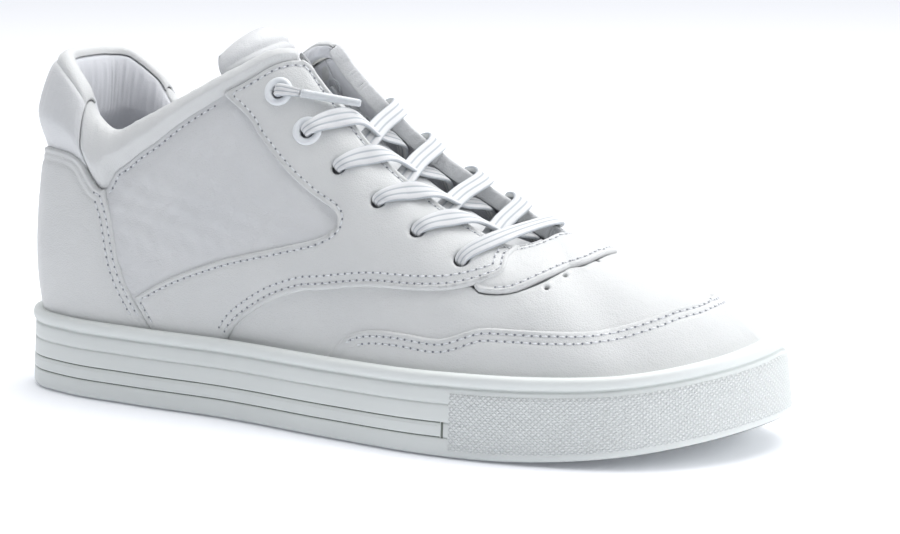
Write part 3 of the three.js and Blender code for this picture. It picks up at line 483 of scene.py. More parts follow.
high_pull = curve_through([
    (0, -6, 0, -38), (0.05, -6, 1.5, -38), (0.1, -4, 2, -36), (0.15, 0, 2.5, -32), (0.2, 4, 3, -28),
    (0.24, 5, 3.5, -26), (0.36, 9, 8, -30), (0.42, 10, 11, -32), (0.47, 10, 13, -30),
    (throat_corner, 10, 14, -28), (0.56, 12, 16, -22), (0.65, 12, 18, -14), (0.73, 10, 18, -8),
    (0.76, 9, 19, -5), (0.785, 8, 22, -3), (0.81, 8, 25, -3), (ridge_start, 10, 25, -3), (0.91, 20, 22, -6.5),
    (0.96, 24, 14, -9), (1, 26, 0, -11)])


def foot_height(x):
    share = np.clip((x / sole_length - 0.2) / 0.48, 0, 1)
    return footbed_heel + (footbed_ball - footbed_heel) * share + spring(x)


def last_point(side, q, v):
    """A point on the last: q round the sole's edge, v from the feather edge to the topline."""
    side, q, v = np.broadcast_arrays(side, q, np.asarray(v, float))
    sign = np.where(side == LATERAL, -1.0, 1.0)
    plan = inset_point(side, q, np.full(q.shape, cup_wall + 2.3))
    foot = np.concatenate([plan, foot_height(plan[..., 0])[..., None]], -1)
    normal = outline_normal(side, q)
    pull = low_pull(q)
    low = foot + np.stack([normal[..., 0] * pull[..., 1], normal[..., 1] * pull[..., 1], pull[..., 0]], -1)
    top = topline(q)
    ridge = toe_turn * np.maximum(0, (top[..., 0] - 221) / 84)
    half = np.where(q < ridge_start, np.maximum(top[..., 1], 0), 0)
    top = np.stack([top[..., 0], ridge + sign * half, top[..., 2]], -1)
    pull = high_pull(q)
    high = top + np.stack([pull[..., 0], sign * pull[..., 1], pull[..., 2]], -1)
    v = v[..., None]
    return foot * (1 - v) ** 3 + 3 * low * v * (1 - v) ** 2 + 3 * high * v ** 2 * (1 - v) + top * v ** 3


def last_normal(side, q, v):
    side, q, v = np.broadcast_arrays(np.asarray(side), np.asarray(q, float), np.asarray(v, float))

    def one(side):
        along = last_point(side, np.minimum(q + 0.002, 1), v) - last_point(side, np.maximum(q - 0.002, 0), v)
        up = last_point(side, q, np.minimum(v + 0.002, 1)) - last_point(side, q, np.maximum(v - 0.002, 0))
        normal = np.cross(along, up) * np.where(side == LATERAL, 1.0, -1.0)[..., None]
        return normal / np.linalg.norm(normal, axis=-1, keepdims=True)

    own = one(side)
    share = np.maximum.reduce([1 - q / 0.006, 1 - (1 - q) / 0.006,
                               np.where(q >= ridge_start, 1 - (1 - v) / 0.02, -1)])
    share = np.clip(share, 0, 1)[..., None] * 0.5
    normal = own * (1 - share) + one(1 - side) * share
    return normal / np.linalg.norm(normal, axis=-1, keepdims=True)


def off_last(side, q, v, out):
    return last_point(side, q, v) + last_normal(side, q, v) * np.asarray(out, float)[..., None]


def way_up(side, q):
    """The direction up the last at its top line."""
    up = last_point(side, q, np.ones_like(q)) - last_point(side, q, np.full(q.shape, 0.97))
    return up / np.linalg.norm(up, axis=-1, keepdims=True)


def smooth_line(points, step=2.0):
    """A pattern line drawn smoothly through its points."""
    points = np.array(points, float)
    before = np.vstack([2 * points[0] - points[1], points, 2 * points[-1] - points[-2]])
    drawn = []
    for i in range(len(points) - 1):
        a, b, c, d = before[i:i + 4]
        count = max(2, int(np.linalg.norm(c - b) / step))
        t = np.linspace(0, 1, count, endpoint=False)[:, None]
        bend = (2 * a - 5 * b + 4 * c - d) * t ** 2
        twist = (3 * b - a - 3 * c + d) * t ** 3
        drawn.append(0.5 * (2 * b + (c - a) * t + bend + twist))
    return [tuple(p) for p in np.vstack(drawn)] + [tuple(points[-1])]


def inside_distance(points, pattern):
    """How far inside a closed side-view pattern each point lies, negative outside it."""
    a = np.array(pattern, float)
    b = np.roll(a, -1, 0)
    away = np.full(len(points), 1e9)
    inside = np.zeros(len(points), bool)
    x, z = points[:, 0], points[:, 2]
    for (ax, az), (bx, bz) in zip(a, b):
        ex, ez = bx - ax, bz - az
        t = np.clip(((x - ax) * ex + (z - az) * ez) / max(ex * ex + ez * ez, 1e-12), 0, 1)
        away = np.minimum(away, np.hypot(x - ax - t * ex, z - az - t * ez))
        crosses = (az > z) != (bz > z)
        if az != bz:
            inside ^= crosses & (x < ax + (z - az) / (bz - az) * ex)
    return np.where(inside, away, -away)


collar_seam = curve_through([
    (0, 0.68), (0.1, 0.71), (0.16, 0.745), (0.203, 0.7), (0.234, 0.82), (0.27, 0.87), (0.307, 0.895),
    (0.352, 0.93), (0.4, 0.945), (0.45, 0.95), (throat_corner, 0.972)])


def below_collar(q, v, drop=0.8):
    """How far below the collar's foot seam, or inside the throat's edge, a point lies."""
    seam = np.where(q <= throat_corner, collar_seam(np.minimum(q, throat_corner))[..., 0], 0.9985)
    seam = np.where((q > throat_corner) & (q < throat_corner + 0.02),
                    0.972 + (0.9985 - 0.972) * (q - throat_corner) / 0.02, seam)
    seam = np.where(q >= ridge_start, 9.0, seam)
    return (seam - v) * 112 - np.where(q <= throat_corner, drop, 0)


class Panel:
    """One panel on one or both sides: its cut sheet in bmesh, and what is known at each vertex."""

    def __init__(self, name, pattern, out, sides=(LATERAL, MEDIAL), span=(0, 1), holes=(), cell=1.0,
                 collar=True):
        self.name, self.out = name, out
        self.made = bmesh.new()
        cell = cell * 1.0
        pieces = []
        for side in sides:
            sheet, across, up = grid_mesh(int((span[1] - span[0]) * 372 / cell), int(118 / cell))
            q = span[0] + (span[1] - span[0]) * across
            inside = inside_distance(last_point(side, q, up) + last_normal(side, q, up) * out, pattern)
            if collar:
                inside = np.minimum(inside, below_collar(q, up))
            set_points(sheet, np.stack([q, up, inside], -1))
            bmesh.ops.bisect_plane(sheet, geom=sheet.verts[:] + sheet.edges[:] + sheet.faces[:], dist=0.03,
                                   plane_co=(0, 0, 0), plane_no=(0, 0, 1), clear_inner=True)
            for hole_q, hole_v, radius in holes:
                self.punch(sheet, side, hole_q, hole_v, radius)
            flat = np.array([v.co[:2] for v in sheet.verts])
            on_side = np.full(len(flat), side)
            if side == MEDIAL:
                bmesh.ops.reverse_faces(sheet, faces=sheet.faces)
            set_points(sheet, last_point(on_side, flat[:, 0], flat[:, 1]))
            pieces.append((on_side, flat))
            mesh = bpy.data.meshes.new("cut")
            sheet.to_mesh(mesh)
            sheet.free()
            self.made.from_mesh(mesh)
            bpy.data.meshes.remove(mesh)
        self.side = np.concatenate([p[0] for p in pieces])
        flat = np.vstack([p[1] for p in pieces])
        marks = [self.made.verts.layers.float.new(mark) for mark in ("side", "q", "v")]
        for vert, values in zip(self.made.verts, np.column_stack([self.side, flat])):
            for mark, value in zip(marks, values):
                vert[mark] = value
        bmesh.ops.remove_doubles(self.made, verts=self.made.verts, dist=0.02)
        bmesh.ops.dissolve_degenerate(self.made, dist=0.05, edges=self.made.edges)
        self.made.verts.ensure_lookup_table()
        self.side, self.q, self.v = (np.array([v[mark] for v in self.made.verts]) for mark in marks)
        self.side = np.rint(self.side).astype(int)
        self.base = np.array([v.co[:] for v in self.made.verts])
        self.normal = last_normal(self.side, self.q, self.v)
        edge = [v.index for v in self.made.verts if v.is_boundary and self.v[v.index] > 0.004]
        centres = [last_point(self.side[0:1] * 0 + s, np.array([q]), np.array([v]))[0]
                   for q, v, r in holes for s in sides]
        points = self.base[edge]
        at_hole = np.zeros(len(edge), bool)
        for centre in centres:
            at_hole |= np.linalg.norm(points - centre, axis=1) < 4.2
        self.from_edge = self.nearest(points)
        self.from_seam = self.nearest(points[~at_hole])

    @staticmethod
    def punch(sheet, side, hole_q, hole_v, radius):
        def near(reach):
            return [f for f in sheet.faces if abs(f.calc_center_median().x - hole_q) * 372 < reach
                    and abs(f.calc_center_median().y - hole_v) * 118 < reach]

        edges = {e for f in near(radius * 1.8 + 1) for e in f.edges}
        bmesh.ops.subdivide_edges(sheet, edges=list(edges), cuts=2 if radius < 2 else 1, use_grid_fill=True)
        faces = near(radius * 2.2 + 2)
        verts = list({v for f in faces for v in f.verts})
        flat = np.array([v.co[:2] for v in verts])
        on_side = np.full(len(flat), side)
        one = np.array([side])
        centre = last_point(one, np.array([hole_q]), np.array([hole_v]))
        axis = last_normal(one, np.array([hole_q]), np.array([hole_v]))
        off = last_point(on_side, flat[:, 0], flat[:, 1]) - centre
        off -= (off * axis).sum(-1, keepdims=True) * axis
        for vert, away in zip(verts, np.linalg.norm(off, axis=-1) - radius):
            vert.co.z = away
        around = verts + list({e for f in faces for e in f.edges}) + faces
        bmesh.ops.bisect_plane(sheet, geom=around, dist=0.02, plane_co=(0, 0, 0), plane_no=(0, 0, 1),
                               clear_inner=True)

    def nearest(self, points):
        if not len(points):
            return np.full(len(self.base), 99.0)
        away = np.full(len(self.base), 99.0)
        for i in range(0, len(self.base), 4000):
            part = self.base[i:i + 4000]
            squared = (part ** 2).sum(1)[:, None] + (points ** 2).sum(1)[None] - 2 * part @ points.T
            away[i:i + 4000] = np.sqrt(np.maximum(squared.min(1), 0))
        return away

    def shape(self, rows=(2.0,), swell=0.25, wrinkle=0.0, cord=0.0):
        """Pulls the sheet over the last: turned edges, thread lines drawn in, full between them."""
        out = self.out - 0.5 * (1 - np.clip(self.from_edge, 0, 1)) ** 2
        for row in rows:
            out = out - 0.34 * np.exp(-((self.from_seam - row) / 0.8) ** 2)
        out = out + swell * smoothstep(self.from_seam, 2.5, 9.0)
        out = out + cord * np.exp(-((self.from_seam - 0.8) / 0.6) ** 2)
        if wrinkle:
            x, z = self.base[:, 0], self.base[:, 2]
            broad = np.sin(x * 0.31 + z * 0.52 + 1.3 * np.sin(z * 0.17)) * np.sin(z * 0.23 - x * 0.11)
            close = 0.5 * np.sin(x * 0.83 + 2.1 * np.sin(z * 0.29 + 1))
            out = out + wrinkle * (broad + close) * smoothstep(self.from_seam, 3, 12)
        self.points = self.base + self.normal * out[:, None]

    def ease_ridge(self, turns=90):
        """Evens out the skin along the middle of the toe, and across the foot where that middle starts."""
        pairs = np.array([[v.index for v in e.verts] for e in self.made.edges])
        middle = smoothstep(self.v, 0.72, 0.9) * smoothstep(self.q, 0.77, 0.83)
        across = np.exp(-((self.q - ridge_start) / 0.04) ** 2) * smoothstep(self.v, 0.02, 0.15)
        share = 0.6 * np.maximum(middle, across) * smoothstep(self.from_edge, 0.1, 2)
        count = np.bincount(pairs.ravel(), minlength=len(self.q))
        for _ in range(turns):
            total = np.zeros_like(self.points)
            np.add.at(total, pairs[:, 0], self.points[pairs[:, 1]])
            np.add.at(total, pairs[:, 1], self.points[pairs[:, 0]])
            self.points = self.points + share[:, None] * (total / count[:, None] - self.points)

    def rows_at(self, apart):
        """The lines on the sheet a set distance in from its seams, as runs of (place, normal)."""
        level = self.from_seam - apart
        cuts, links = {}, {}
        for face in self.made.faces:
            crossed = []
            for edge in face.edges:
                a, b = edge.verts[0].index, edge.verts[1].index
                if (level[a] > 0) != (level[b] > 0):
                    t = level[a] / (level[a] - level[b])
                    cuts[edge.index] = (self.points[a] * (1 - t) + self.points[b] * t,
                                        self.normal[a] * (1 - t) + self.normal[b] * t)
                    crossed.append(edge.index)
            if len(crossed) == 2:
                links.setdefault(crossed[0], []).append(crossed[1])
                links.setdefault(crossed[1], []).append(crossed[0])
        runs, seen = [], set()
        for start in sorted(links, key=lambda e: len(links[e])):
            if start in seen:
                continue
            run, current = [start], start
            seen.add(start)
            while True:
                ahead = [e for e in links[current] if e not in seen]
                if not ahead:
                    break
                current = ahead[0]
                seen.add(current)
                run.append(current)
            if len(run) > 6:
                runs.append([cuts[e] for e in run])
        return runs

    def build(self, surface, replaces=None, thickness=leather):
        made = self.made
        made.normal_update()
        for vert, point in zip(made.verts, self.points):
            vert.co = point
        inner = {v: -n for v, n in zip(list(made.verts), self.normal)}
        rim = [e for e in made.edges if e.is_boundary]
        outward = {}
        for edge in rim:
            centre = edge.link_faces[0].calc_center_median()
            middle = (edge.verts[0].co + edge.verts[1].co) / 2
            line = (edge.verts[1].co - edge.verts[0].co).normalized()
            away = middle - centre
            away -= away.dot(line) * line
            for vert in edge.verts:
                outward[vert] = outward.get(vert, Vector()) + away.normalized()
        for spread, sink in ((0.28, 0.4), (-0.05, thickness - 0.35)):
            grown = bmesh.ops.extrude_edge_only(made, edges=rim)["geom"]
            rim = [g for g in grown if isinstance(g, bmesh.types.BMEdge)]
            fresh = {g for g in grown if isinstance(g, bmesh.types.BMVert)}
            step, turned = {}, {}
            for vert in fresh:
                for edge in vert.link_edges:
                    old = edge.other_vert(vert)
                    if old not in fresh and old in outward:
                        step[vert], turned[vert] = old, outward[old]
            for vert, old in step.items():
                inward = Vector(inner[old])
                vert.co = old.co + turned[vert].normalized() * spread + inward * sink
                inner[vert] = inner[old]
            rim = [e for e in rim if e.verts[0] in fresh and e.verts[1] in fresh]
            outward = turned
        set_points(made, [placed(np.array(v.co)) for v in made.verts])
        piece = finish_piece(made, self.name, "shoe", surface)
        if replaces:
            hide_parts(replaces)
        return piece


# White aniline cowhide, lightly finished: fine pores, faint clouding, a low even sheen.
def leather_material(name, light, shade, roughness, crease, pore_depth=0.00005):
    made = new_material(name)
    where = add_node(made, "ShaderNodeTexCoord").outputs["Object"]
    cloud = add_node(made, "ShaderNodeTexNoise", {"Vector": where}, Scale=34.0, Detail=4.0)
    tint = two_tones(made, cloud.outputs["Fac"], light, shade)
    pores = add_node(made, "ShaderNodeTexVoronoi", {"Vector": where}, feature="DISTANCE_TO_EDGE",
                     Scale=1150.0)
    grain = add_node(made, "ShaderNodeMapRange", {"Value": pores.outputs["Distance"]})
    grain.inputs["From Max"].default_value = 0.25
    folds = add_node(made, "ShaderNodeTexNoise", {"Vector": where}, Scale=190.0, Detail=3.0, Distortion=1.2)
    soft = add_node(made, "ShaderNodeBump", {"Height": folds.outputs["Fac"]}, Strength=crease,
                    Distance=0.0005)
    fine = add_node(made, "ShaderNodeBump", {"Height": grain.outputs[0], "Normal": soft.outputs[0]},
                    Strength=0.5, Distance=pore_depth)
    rough = add_node(made, "ShaderNodeMapRange", {"Value": folds.outputs["Fac"]})
    rough.inputs["To Min"].default_value = roughness - 0.06
    rough.inputs["To Max"].default_value = roughness + 0.08
    shader = dress(made, tint, fine.outputs[0], IOR=1.46)
    made.node_tree.links.new(rough.outputs[0], shader.inputs["Roughness"])
    shader.inputs["Sheen Weight"].default_value = 0.08
    shader.inputs["Sheen Roughness"].default_value = 0.5
    return made


cowhide = leather_material("cowhide_white_smooth", "#dcdddc", "#d3d5d5", 0.44, 0.30, 0.00012)
soft_hide = leather_material("cowhide_white_creased", "#dbdcdc", "#d0d2d4", 0.44, 0.60, 0.00012)

# Bonded polyester thread, white, with each needle hole drawn as a small grey disc: painted shade where the
# hole is.
thread = new_material("polyester_thread_white")
where = add_node(thread, "ShaderNodeTexCoord").outputs["Object"]
strand = add_node(thread, "ShaderNodeTexNoise", {"Vector": where}, Scale=3000.0)
tint = two_tones(thread, strand.outputs["Fac"], "#f2f3f5", "#d8dbe0")
dress(thread, tint, Roughness=0.6)
needle_hole = new_material("needle_hole_shadow")
where = add_node(needle_hole, "ShaderNodeTexCoord").outputs["Object"]
speck = add_node(needle_hole, "ShaderNodeTexNoise", {"Vector": where}, Scale=2000.0)
tint = two_tones(needle_hole, speck.outputs["Fac"], "#747880", "#90949b")
dress(needle_hole, tint, Roughness=0.9)

stitch_pitch = 3.0


def stitching(name, body, runs, pitch=stitch_pitch):
    """Lockstitches along runs of (place, normal), each a short thread between two needle holes."""
    made = bmesh.new()
    for run in runs:
        places = np.array([r[0] for r in run])
        normals = np.array([r[1] for r in run])
        length = np.concatenate([[0], np.cumsum(np.linalg.norm(np.diff(places, axis=0), axis=1))])
        if length[-1] < 3 * pitch:
            continue
        for at in np.arange(pitch / 2, length[-1] - pitch / 2, pitch):
            place, before, after = (np.array([np.interp(at + d, length, places[:, k]) for k in range(3)])
                                    for d in (0, -0.8, 0.8))
            up = Vector([np.interp(at, length, normals[:, k]) for k in range(3)]).normalized()
            run_to = Vector(after - before)
            run_to = (run_to - run_to.dot(up) * up).normalized()
            turn = Matrix((run_to, up.cross(run_to), up)).transposed().to_4x4()
            centre = Vector(placed(place))
            stitch_size = Matrix.Diagonal((1.05 * mm, 0.34 * mm, 0.24 * mm, 1))
            lay = Matrix.Translation(centre + up * 0.10 * mm) @ turn @ stitch_size
            bmesh.ops.create_icosphere(made, subdivisions=1, radius=1.0, matrix=lay)
            first = len(made.faces)
            # The needle hole: a flat grey disc laid on the leather, painted shade standing in for the hole's
            # shadow.
            hole = Matrix.Translation(centre + run_to * pitch / 2 * mm + up * 0.16 * mm) @ turn
            bmesh.ops.create_circle(made, cap_ends=True, segments=7, radius=0.42 * mm, matrix=hole)
            made.faces.ensure_lookup_table()
            for face in made.faces[first:]:
                face.material_index = 1
    piece = finish_piece(made, name, body, [thread, needle_hole])
    return piece


far, low = 400.0, -10.0
rear_quarter_edge = smooth_line([
    (96, 117.5), (109, 109), (115, 102.5), (128, 91), (140, 83), (149, 78.5), (151, 74), (145.5, 69),
    (130.6, 64.5), (115, 60.5), (101, 56.5), (80, 48.5), (63, 39.5)])
rear_quarter_margin = [
    (102, 122), (116, 112), (122, 105.5), (134, 95), (145, 87.3), (155, 82), (158, 74), (151, 65),
    (132, 59.5), (117, 55.5), (103, 51.5), (82, 43.5), (72, 39), (64, 10)]
quarter_low = smooth_line([
    (104.7, 28.4), (110, 35), (124, 44.2), (138, 49.6), (147, 51), (167.5, 54.2), (187.4, 54.8),
    (200.5, 56.2),
    (211, 59.4), (216, 62.5), (214.5, 66.5)])
vamp_top = [
    (96, 10), (98, 30), (106, 41), (124, 49), (138, 54.4), (147, 56), (167, 58.3), (187, 58.6), (198, 57.6),
    (206.5, 56.6), (209, 54.8), (216, 54.4), (222.3, 55.6), (229.5, 58.8), (234, 62.3), (240, 64.4),
    (247, 80)]
saddle_front = smooth_line([
    (207, 57.3), (209.2, 55.4), (216, 55), (222, 56.2), (228, 59.4), (234, 62.8), (240, 66.0), (246, 80)])
mudguard_top = smooth_line([
    (147, 10), (150, 25), (154.7, 31), (160.7, 36.2), (169.3, 38.9), (182, 39.7), (195.7, 39), (201.8, 39.8),
    (208.8, 42.4), (215.7, 44.1), (236, 44.3), (252.8, 44.8), (264.4, 47.9), (271, 50.7), (277.5, 52.6),
    (290, 62)])
counter_front = smooth_line([(49, 77), (52.5, 68), (56.5, 51), (62, 40), (70, 28), (76, 10)])
eyelets = [(0.465, 0.86), (0.493, 0.745), (0.544, 0.725), (0.604, 0.745), (0.656, 0.745), (0.697, 0.73)]
vents = [(0.787, 0.68), (0.819, 0.71), (0.849, 0.77), (0.883, 0.86)]


def ahead(line):
    return [*line, (far, line[-1][1]), (far, low), (line[0][0], low)]


def behind(line):
    return [(-far, 200.0), (line[0][0], 200.0), *line, (-far, line[-1][1])]


def near_line(place, line, reach):
    return min(math.hypot(place[0] - x, place[2] - z) for x, z in line) < reach


def rows(panel, *apart, keep=lambda place: True):
    found = []
    for each in apart:
        for run in panel.rows_at(each):
            part = []
            for place, normal in run:
                if keep(place):
                    part.append((place, normal))
                elif part:
                    found.append(part)
                    part = []
            if part:
                found.append(part)
    return found


for side in (LATERAL, MEDIAL):
    name = side_name[side]
    # Rear quarter: the large soft panel behind the lace row, full and slightly creased.
    panel = Panel(f"panel_rear_quarter_{name}", behind(rear_quarter_margin), 0.0, (side,), (0, 0.53))
    panel.shape(wrinkle=0.24, swell=0.7)
    stitching(f"thread_rear_quarter_{name}", "shoe", rows(
        panel, 2.2, keep=lambda p: p[0] > 50 and p[2] > 72 and p[2] > 72 + (p[0] - 50) * 0.55 and p[0] < 97))
    panel.build(soft_hide, f"rear_quarter_{name}")
    # Quarter: one panel that carries the lace row and sweeps back along the sole.
    panel = Panel(f"panel_quarter_{name}",
                  [*rear_quarter_edge, (70.8, 28), (77, 10), (104, 10), *quarter_low,
                   (214.5, 150), (96, 150)],
                  overlay_out, (side,), (0.13, 0.83), [(q, v, 3.0) for q, v in eyelets])
    panel.shape(rows=(2.0,), cord=0.5)
    single = rows(panel, 2.0, keep=lambda p: p[2] > 30)
    double = rows(panel, 4.6, keep=lambda p: p[2] > 30 and near_line(p, quarter_low, 6.5))
    stitching(f"thread_quarter_{name}", "shoe", single + double)
    panel.build(cowhide, f"quarter_{name}")

vamp = Panel("panel_vamp", ahead(smooth_line(vamp_top)), 0.0, span=(0.24, 1), cell=1.1, collar=False,
             holes=[(q, v, 1.0) for q, v in vents])
vamp.shape(rows=(), swell=0.3)
vamp.ease_ridge()
vamp.build(cowhide, "vamp")
saddle = Panel("panel_throat_saddle", [*saddle_front, (246, 100), (207, 100)], 0.0, span=(0.6, 1), cell=0.8)
saddle.shape(rows=(1.9,), swell=0.1, cord=0.3)
saddle.points += saddle.normal * 0.75
saddle.ease_ridge(20)
stitching("thread_throat_saddle", "shoe", rows(saddle, 1.9, keep=lambda p: p[0] > 213))
saddle.build(cowhide, "throat_saddle")
guard = Panel("panel_mudguard", ahead(mudguard_top), overlay_out, span=(0.4, 1), cell=0.95, collar=False)
guard.shape(rows=(1.9, 4.4), swell=0.2, cord=0.3)
guard.ease_ridge()
stitching("thread_mudguard", "shoe", rows(guard, 1.9, 4.4, keep=lambda p: p[2] > 33))
guard.build(cowhide, "mudguard")
counter = Panel("panel_heel_counter", behind(counter_front), overlay_out, span=(0, 0.26), cell=0.9)
counter.shape(rows=(1.9, 4.6), swell=0.3, cord=0.3)
stitching("thread_heel_counter", "shoe", rows(
    counter, 1.9, 4.6, keep=lambda p: p[2] > 32 and p[0] > 44 and p[2] < 86))
counter.build(cowhide, "heel_counter")

# ---------------------------------------------------------------- linings, inside the upper
# Thin white lining glued inside the panels: a back half round the heel and a front half round
# the toes, butted under the lace row.
lining_inside, lining_thick = -3.4, 0.8


def lining(name, span, node):
    made = bmesh.new()
    for side in (LATERAL, MEDIAL):
        sheet, across, up = grid_mesh(110, 44)
        q = span[0] + (span[1] - span[0]) * across
        top = collar_seam(np.minimum(q, throat_corner))[..., 0] - 0.006
        top = np.where(q <= throat_corner, top, 0.988)
        top = np.where(q >= ridge_start, 1.0, top)
        here, out = np.full(len(q), side), np.full(len(q), lining_inside + lining_thick)
        set_points(sheet, placed(off_last(here, q, up * top, out)))
        if side == LATERAL:
            bmesh.ops.reverse_faces(sheet, faces=sheet.faces)
        mesh = bpy.data.meshes.new("side")
        sheet.to_mesh(mesh)
        sheet.free()
        made.from_mesh(mesh)
        bpy.data.meshes.remove(mesh)
    bmesh.ops.remove_doubles(made, verts=made.verts, dist=0.05 * mm)
    piece = finish_piece(made, name, "shoe", lining_hide)
    wall = piece.modifiers.new("thickness", "SOLIDIFY")
    wall.thickness = lining_thick * mm
    wall.offset = 1.0
    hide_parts(node)


# Pigskin lining: softer and duller than the outside, with a coarser open grain.
lining_hide = leather_material("pigskin_lining_white", "#e6e7ea", "#dcdee3", 0.62, 0.20, 0.00008)
lining("lining_back", (0.0, 0.47), "quarter_lining")
lining("lining_front", (0.4705, 1.0), "vamp_lining")

# ---------------------------------------------------------------- folded throat edge
# The leather of each eyestay is turned over its backing and lining along the throat and glued
# down, which leaves a soft rounded edge.
throat_span = (0.495, 0.80)
for side in (LATERAL, MEDIAL):
    made, along, around = grid_mesh(260, 16)
    q = throat_span[0] + (throat_span[1] - throat_span[0]) * along
    turn = around * math.pi
    here = np.full(len(q), side)
    rough = 0.22 * np.sin(q * 900 + 2 * np.sin(q * 333)) * np.sin(turn)
    middle, half = (overlay_out - 0.2 + lining_inside) / 2, (overlay_out - 0.2 - lining_inside) / 2
    edge = off_last(here, q, np.ones(len(q)), middle + half * np.cos(turn))
    edge = edge + way_up(here, q) * (0.75 * np.sin(turn) ** 0.7 - 0.45 + rough)[:, None]
    set_points(made, placed(edge))
    face_out(made)
    piece = finish_piece(made, f"throat_edge_{side_name[side]}", "shoe", soft_hide)
    wall = piece.modifiers.new("thickness", "SOLIDIFY")
    wall.thickness = 0.6 * mm
    wall.offset = -1.0

# ---------------------------------------------------------------- padded collar
# Foam wrapped in leather round the ankle: a tall padded heel tab, a rolled binding strip over
# its top, slimmer bands down both sides, and a soft lining that turns down inside.
dart_q, collar_end = 0.17, 0.491
cover_top, roll_top = 0.36, 0.6
collar_puff, collar_puff_inside, band_share = 4.0, 9.0, 0.45


def collar_point(side, q, angle, offset):
    """Round the padding: angle 0 at its foot outside, a half turn at its foot inside."""
    seam = collar_seam(q)[..., 0]
    rise = np.sin(np.clip(angle, 0, math.pi)) ** 0.8
    fullness = smoothstep(rise, 0, 0.4)
    share = 1 + (band_share - 1) * smoothstep(q, 0.19, 0.3)
    share = share * (1 - 0.55 * smoothstep(q, 0.472, 0.492))
    swell = (collar_puff - collar_puff_inside) / 2 + (collar_puff + collar_puff_inside) / 2 * np.cos(angle)
    swell = swell * share
    foot = np.where(angle < math.pi / 2, 0.0, lining_inside + lining_thick)
    out = foot + (swell - foot) * fullness + offset * np.cos(angle)
    tuck = np.exp(-(angle / 0.14) ** 2)
    out = out - 1.5 * tuck
    v = seam + (1 - seam) * rise - 0.022 * tuck
    return off_last(side, q, v, out) + way_up(side, q) * (offset * np.sin(angle))[..., None]


def collar_part(name, start, end, low_turn, high_turn, node, surface, seams, fold):
    """A skin of the collar from one place round it to another, negative on the lateral side."""
    columns = int(abs(end - start) * 300 / (0.9))
    made, along, around = grid_mesh(columns, int((high_turn - low_turn) * 70) + 8)
    place = start + (end - start) * along
    side, q = np.where(place < 0, LATERAL, MEDIAL), np.abs(place)
    angle = (low_turn + (high_turn - low_turn) * around) * math.pi
    reach = np.stack([(place - start) * 270, (end - place) * 270, around * (high_turn - low_turn) * 48,
                      (1 - around) * (high_turn - low_turn) * 48])
    dip = sum(seam * np.exp(-(each / 1.3) ** 2) for seam, each in zip(seams, reach))
    skin = leather - 1.0 * np.minimum(dip, 1.0)
    away = np.minimum(reach.min(0), 12)
    crease = np.sin(place * 310 + 2.0 * np.sin(angle * 2.3)) * np.sin(angle * 3.1 + 1.0)
    crease = crease + 0.6 * np.sin(place * 520 + angle * 5.0)
    skin = skin + fold * crease * smoothstep(away, 1, 8)
    set_points(made, placed(collar_point(side, q, angle, skin)))
    face_out(made)
    piece = finish_piece(made, name, "shoe", surface)
    wall = piece.modifiers.new("thickness", "SOLIDIFY")
    wall.thickness = 0.9 * mm
    wall.offset = -1.0
    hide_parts(node)


collar_part("collar_heel_tab", -dart_q, dart_q, 0.0, cover_top, "collar_cover_heel",
            soft_hide, (0.8, 0.8, 0.6, 1.0), 0.16)
collar_part("collar_rolled_binding", -dart_q, dart_q, cover_top, roll_top, "collar_binding",
            cowhide, (0.6, 0.6, 1.0, 0.8), 0.05)
for side in (LATERAL, MEDIAL):
    sign = side_sign[side]
    start, end = sorted((sign * dart_q, sign * collar_end))
    ends = (0.3, 0.8) if side == LATERAL else (0.8, 0.3)
    collar_part(f"collar_band_{side_name[side]}", start, end, 0.0, roll_top,
                f"collar_cover_{side_name[side]}", cowhide, (*ends, 0.9, 0.7), 0.07)
collar_part("collar_inner_lining", -collar_end, collar_end, roll_top, 1.0, "collar_lining",
            lining_hide, (0.2, 0.2, 0.9, 0.0), 0.30)


def collar_line(side, q, turn, offset=leather):
    q = np.asarray(q, float)
    angle = np.full(q.shape, turn * math.pi)
    place = collar_point(np.full(q.shape, side), q, angle, np.full(q.shape, offset))
    normal = collar_point(np.full(q.shape, side), q, angle, np.full(q.shape, offset + 1.0)) - place
    return list(zip(place, normal))


collar_thread = []
for side in (LATERAL, MEDIAL):
    turns = np.linspace(0.06, cover_top, 40)
    up_dart = [collar_line(side, [dart_q - 0.007], turn, leather - 0.1)[0] for turn in turns]
    collar_thread.append(up_dart)
stitching("thread_collar_dart", "shoe", collar_thread)

# ---------------------------------------------------------------- padded tongue
# Two skins of leather over foam, sewn round the edge and closed below under the throat saddle,
# with a pair of stitched channels across it under its rounded top.
tongue_line = curve_through([
    (0, 228, 63.5, 12, 4, 3.2), (0.12, 212, 64.5, 17, 7, 4),
    (0.25, 192, 71, 21, 11, 5), (0.4, 168, 84, 22, 14, 6),
    (0.55, 148.5, 97, 21, 14, 6.5), (0.7, 130.5, 111, 18.5, 13, 7), (0.85, 113.5, 126, 16, 10, 8),
    (1, 98.7, 139.5, 17, 11, 8)])


def tongue_point(along, across):
    row = tongue_line(along)
    flare = 1 + 0.38 * smoothstep(along, 0.84, 0.95)[..., None] * np.array([0, 0, 1.0, 1.0, 0])
    row = row * flare
    rounded = 1 - 0.22 * np.clip((along - 0.9) / 0.1, 0, 1) ** 2
    row[..., 2:4] *= rounded[..., None]
    step = tongue_line(along + 0.005) - tongue_line(along - 0.005)
    down = np.stack([-step[..., 1], step[..., 0]], -1)
    down = down / np.linalg.norm(down, axis=-1, keepdims=True) * (row[..., 3] * across ** 2)[..., None]
    return np.stack([row[..., 0] + down[..., 0], across * row[..., 2], row[..., 1] + down[..., 1]], -1)


tongue_channels = (0.895, 0.925)
channel_bow = 0.022


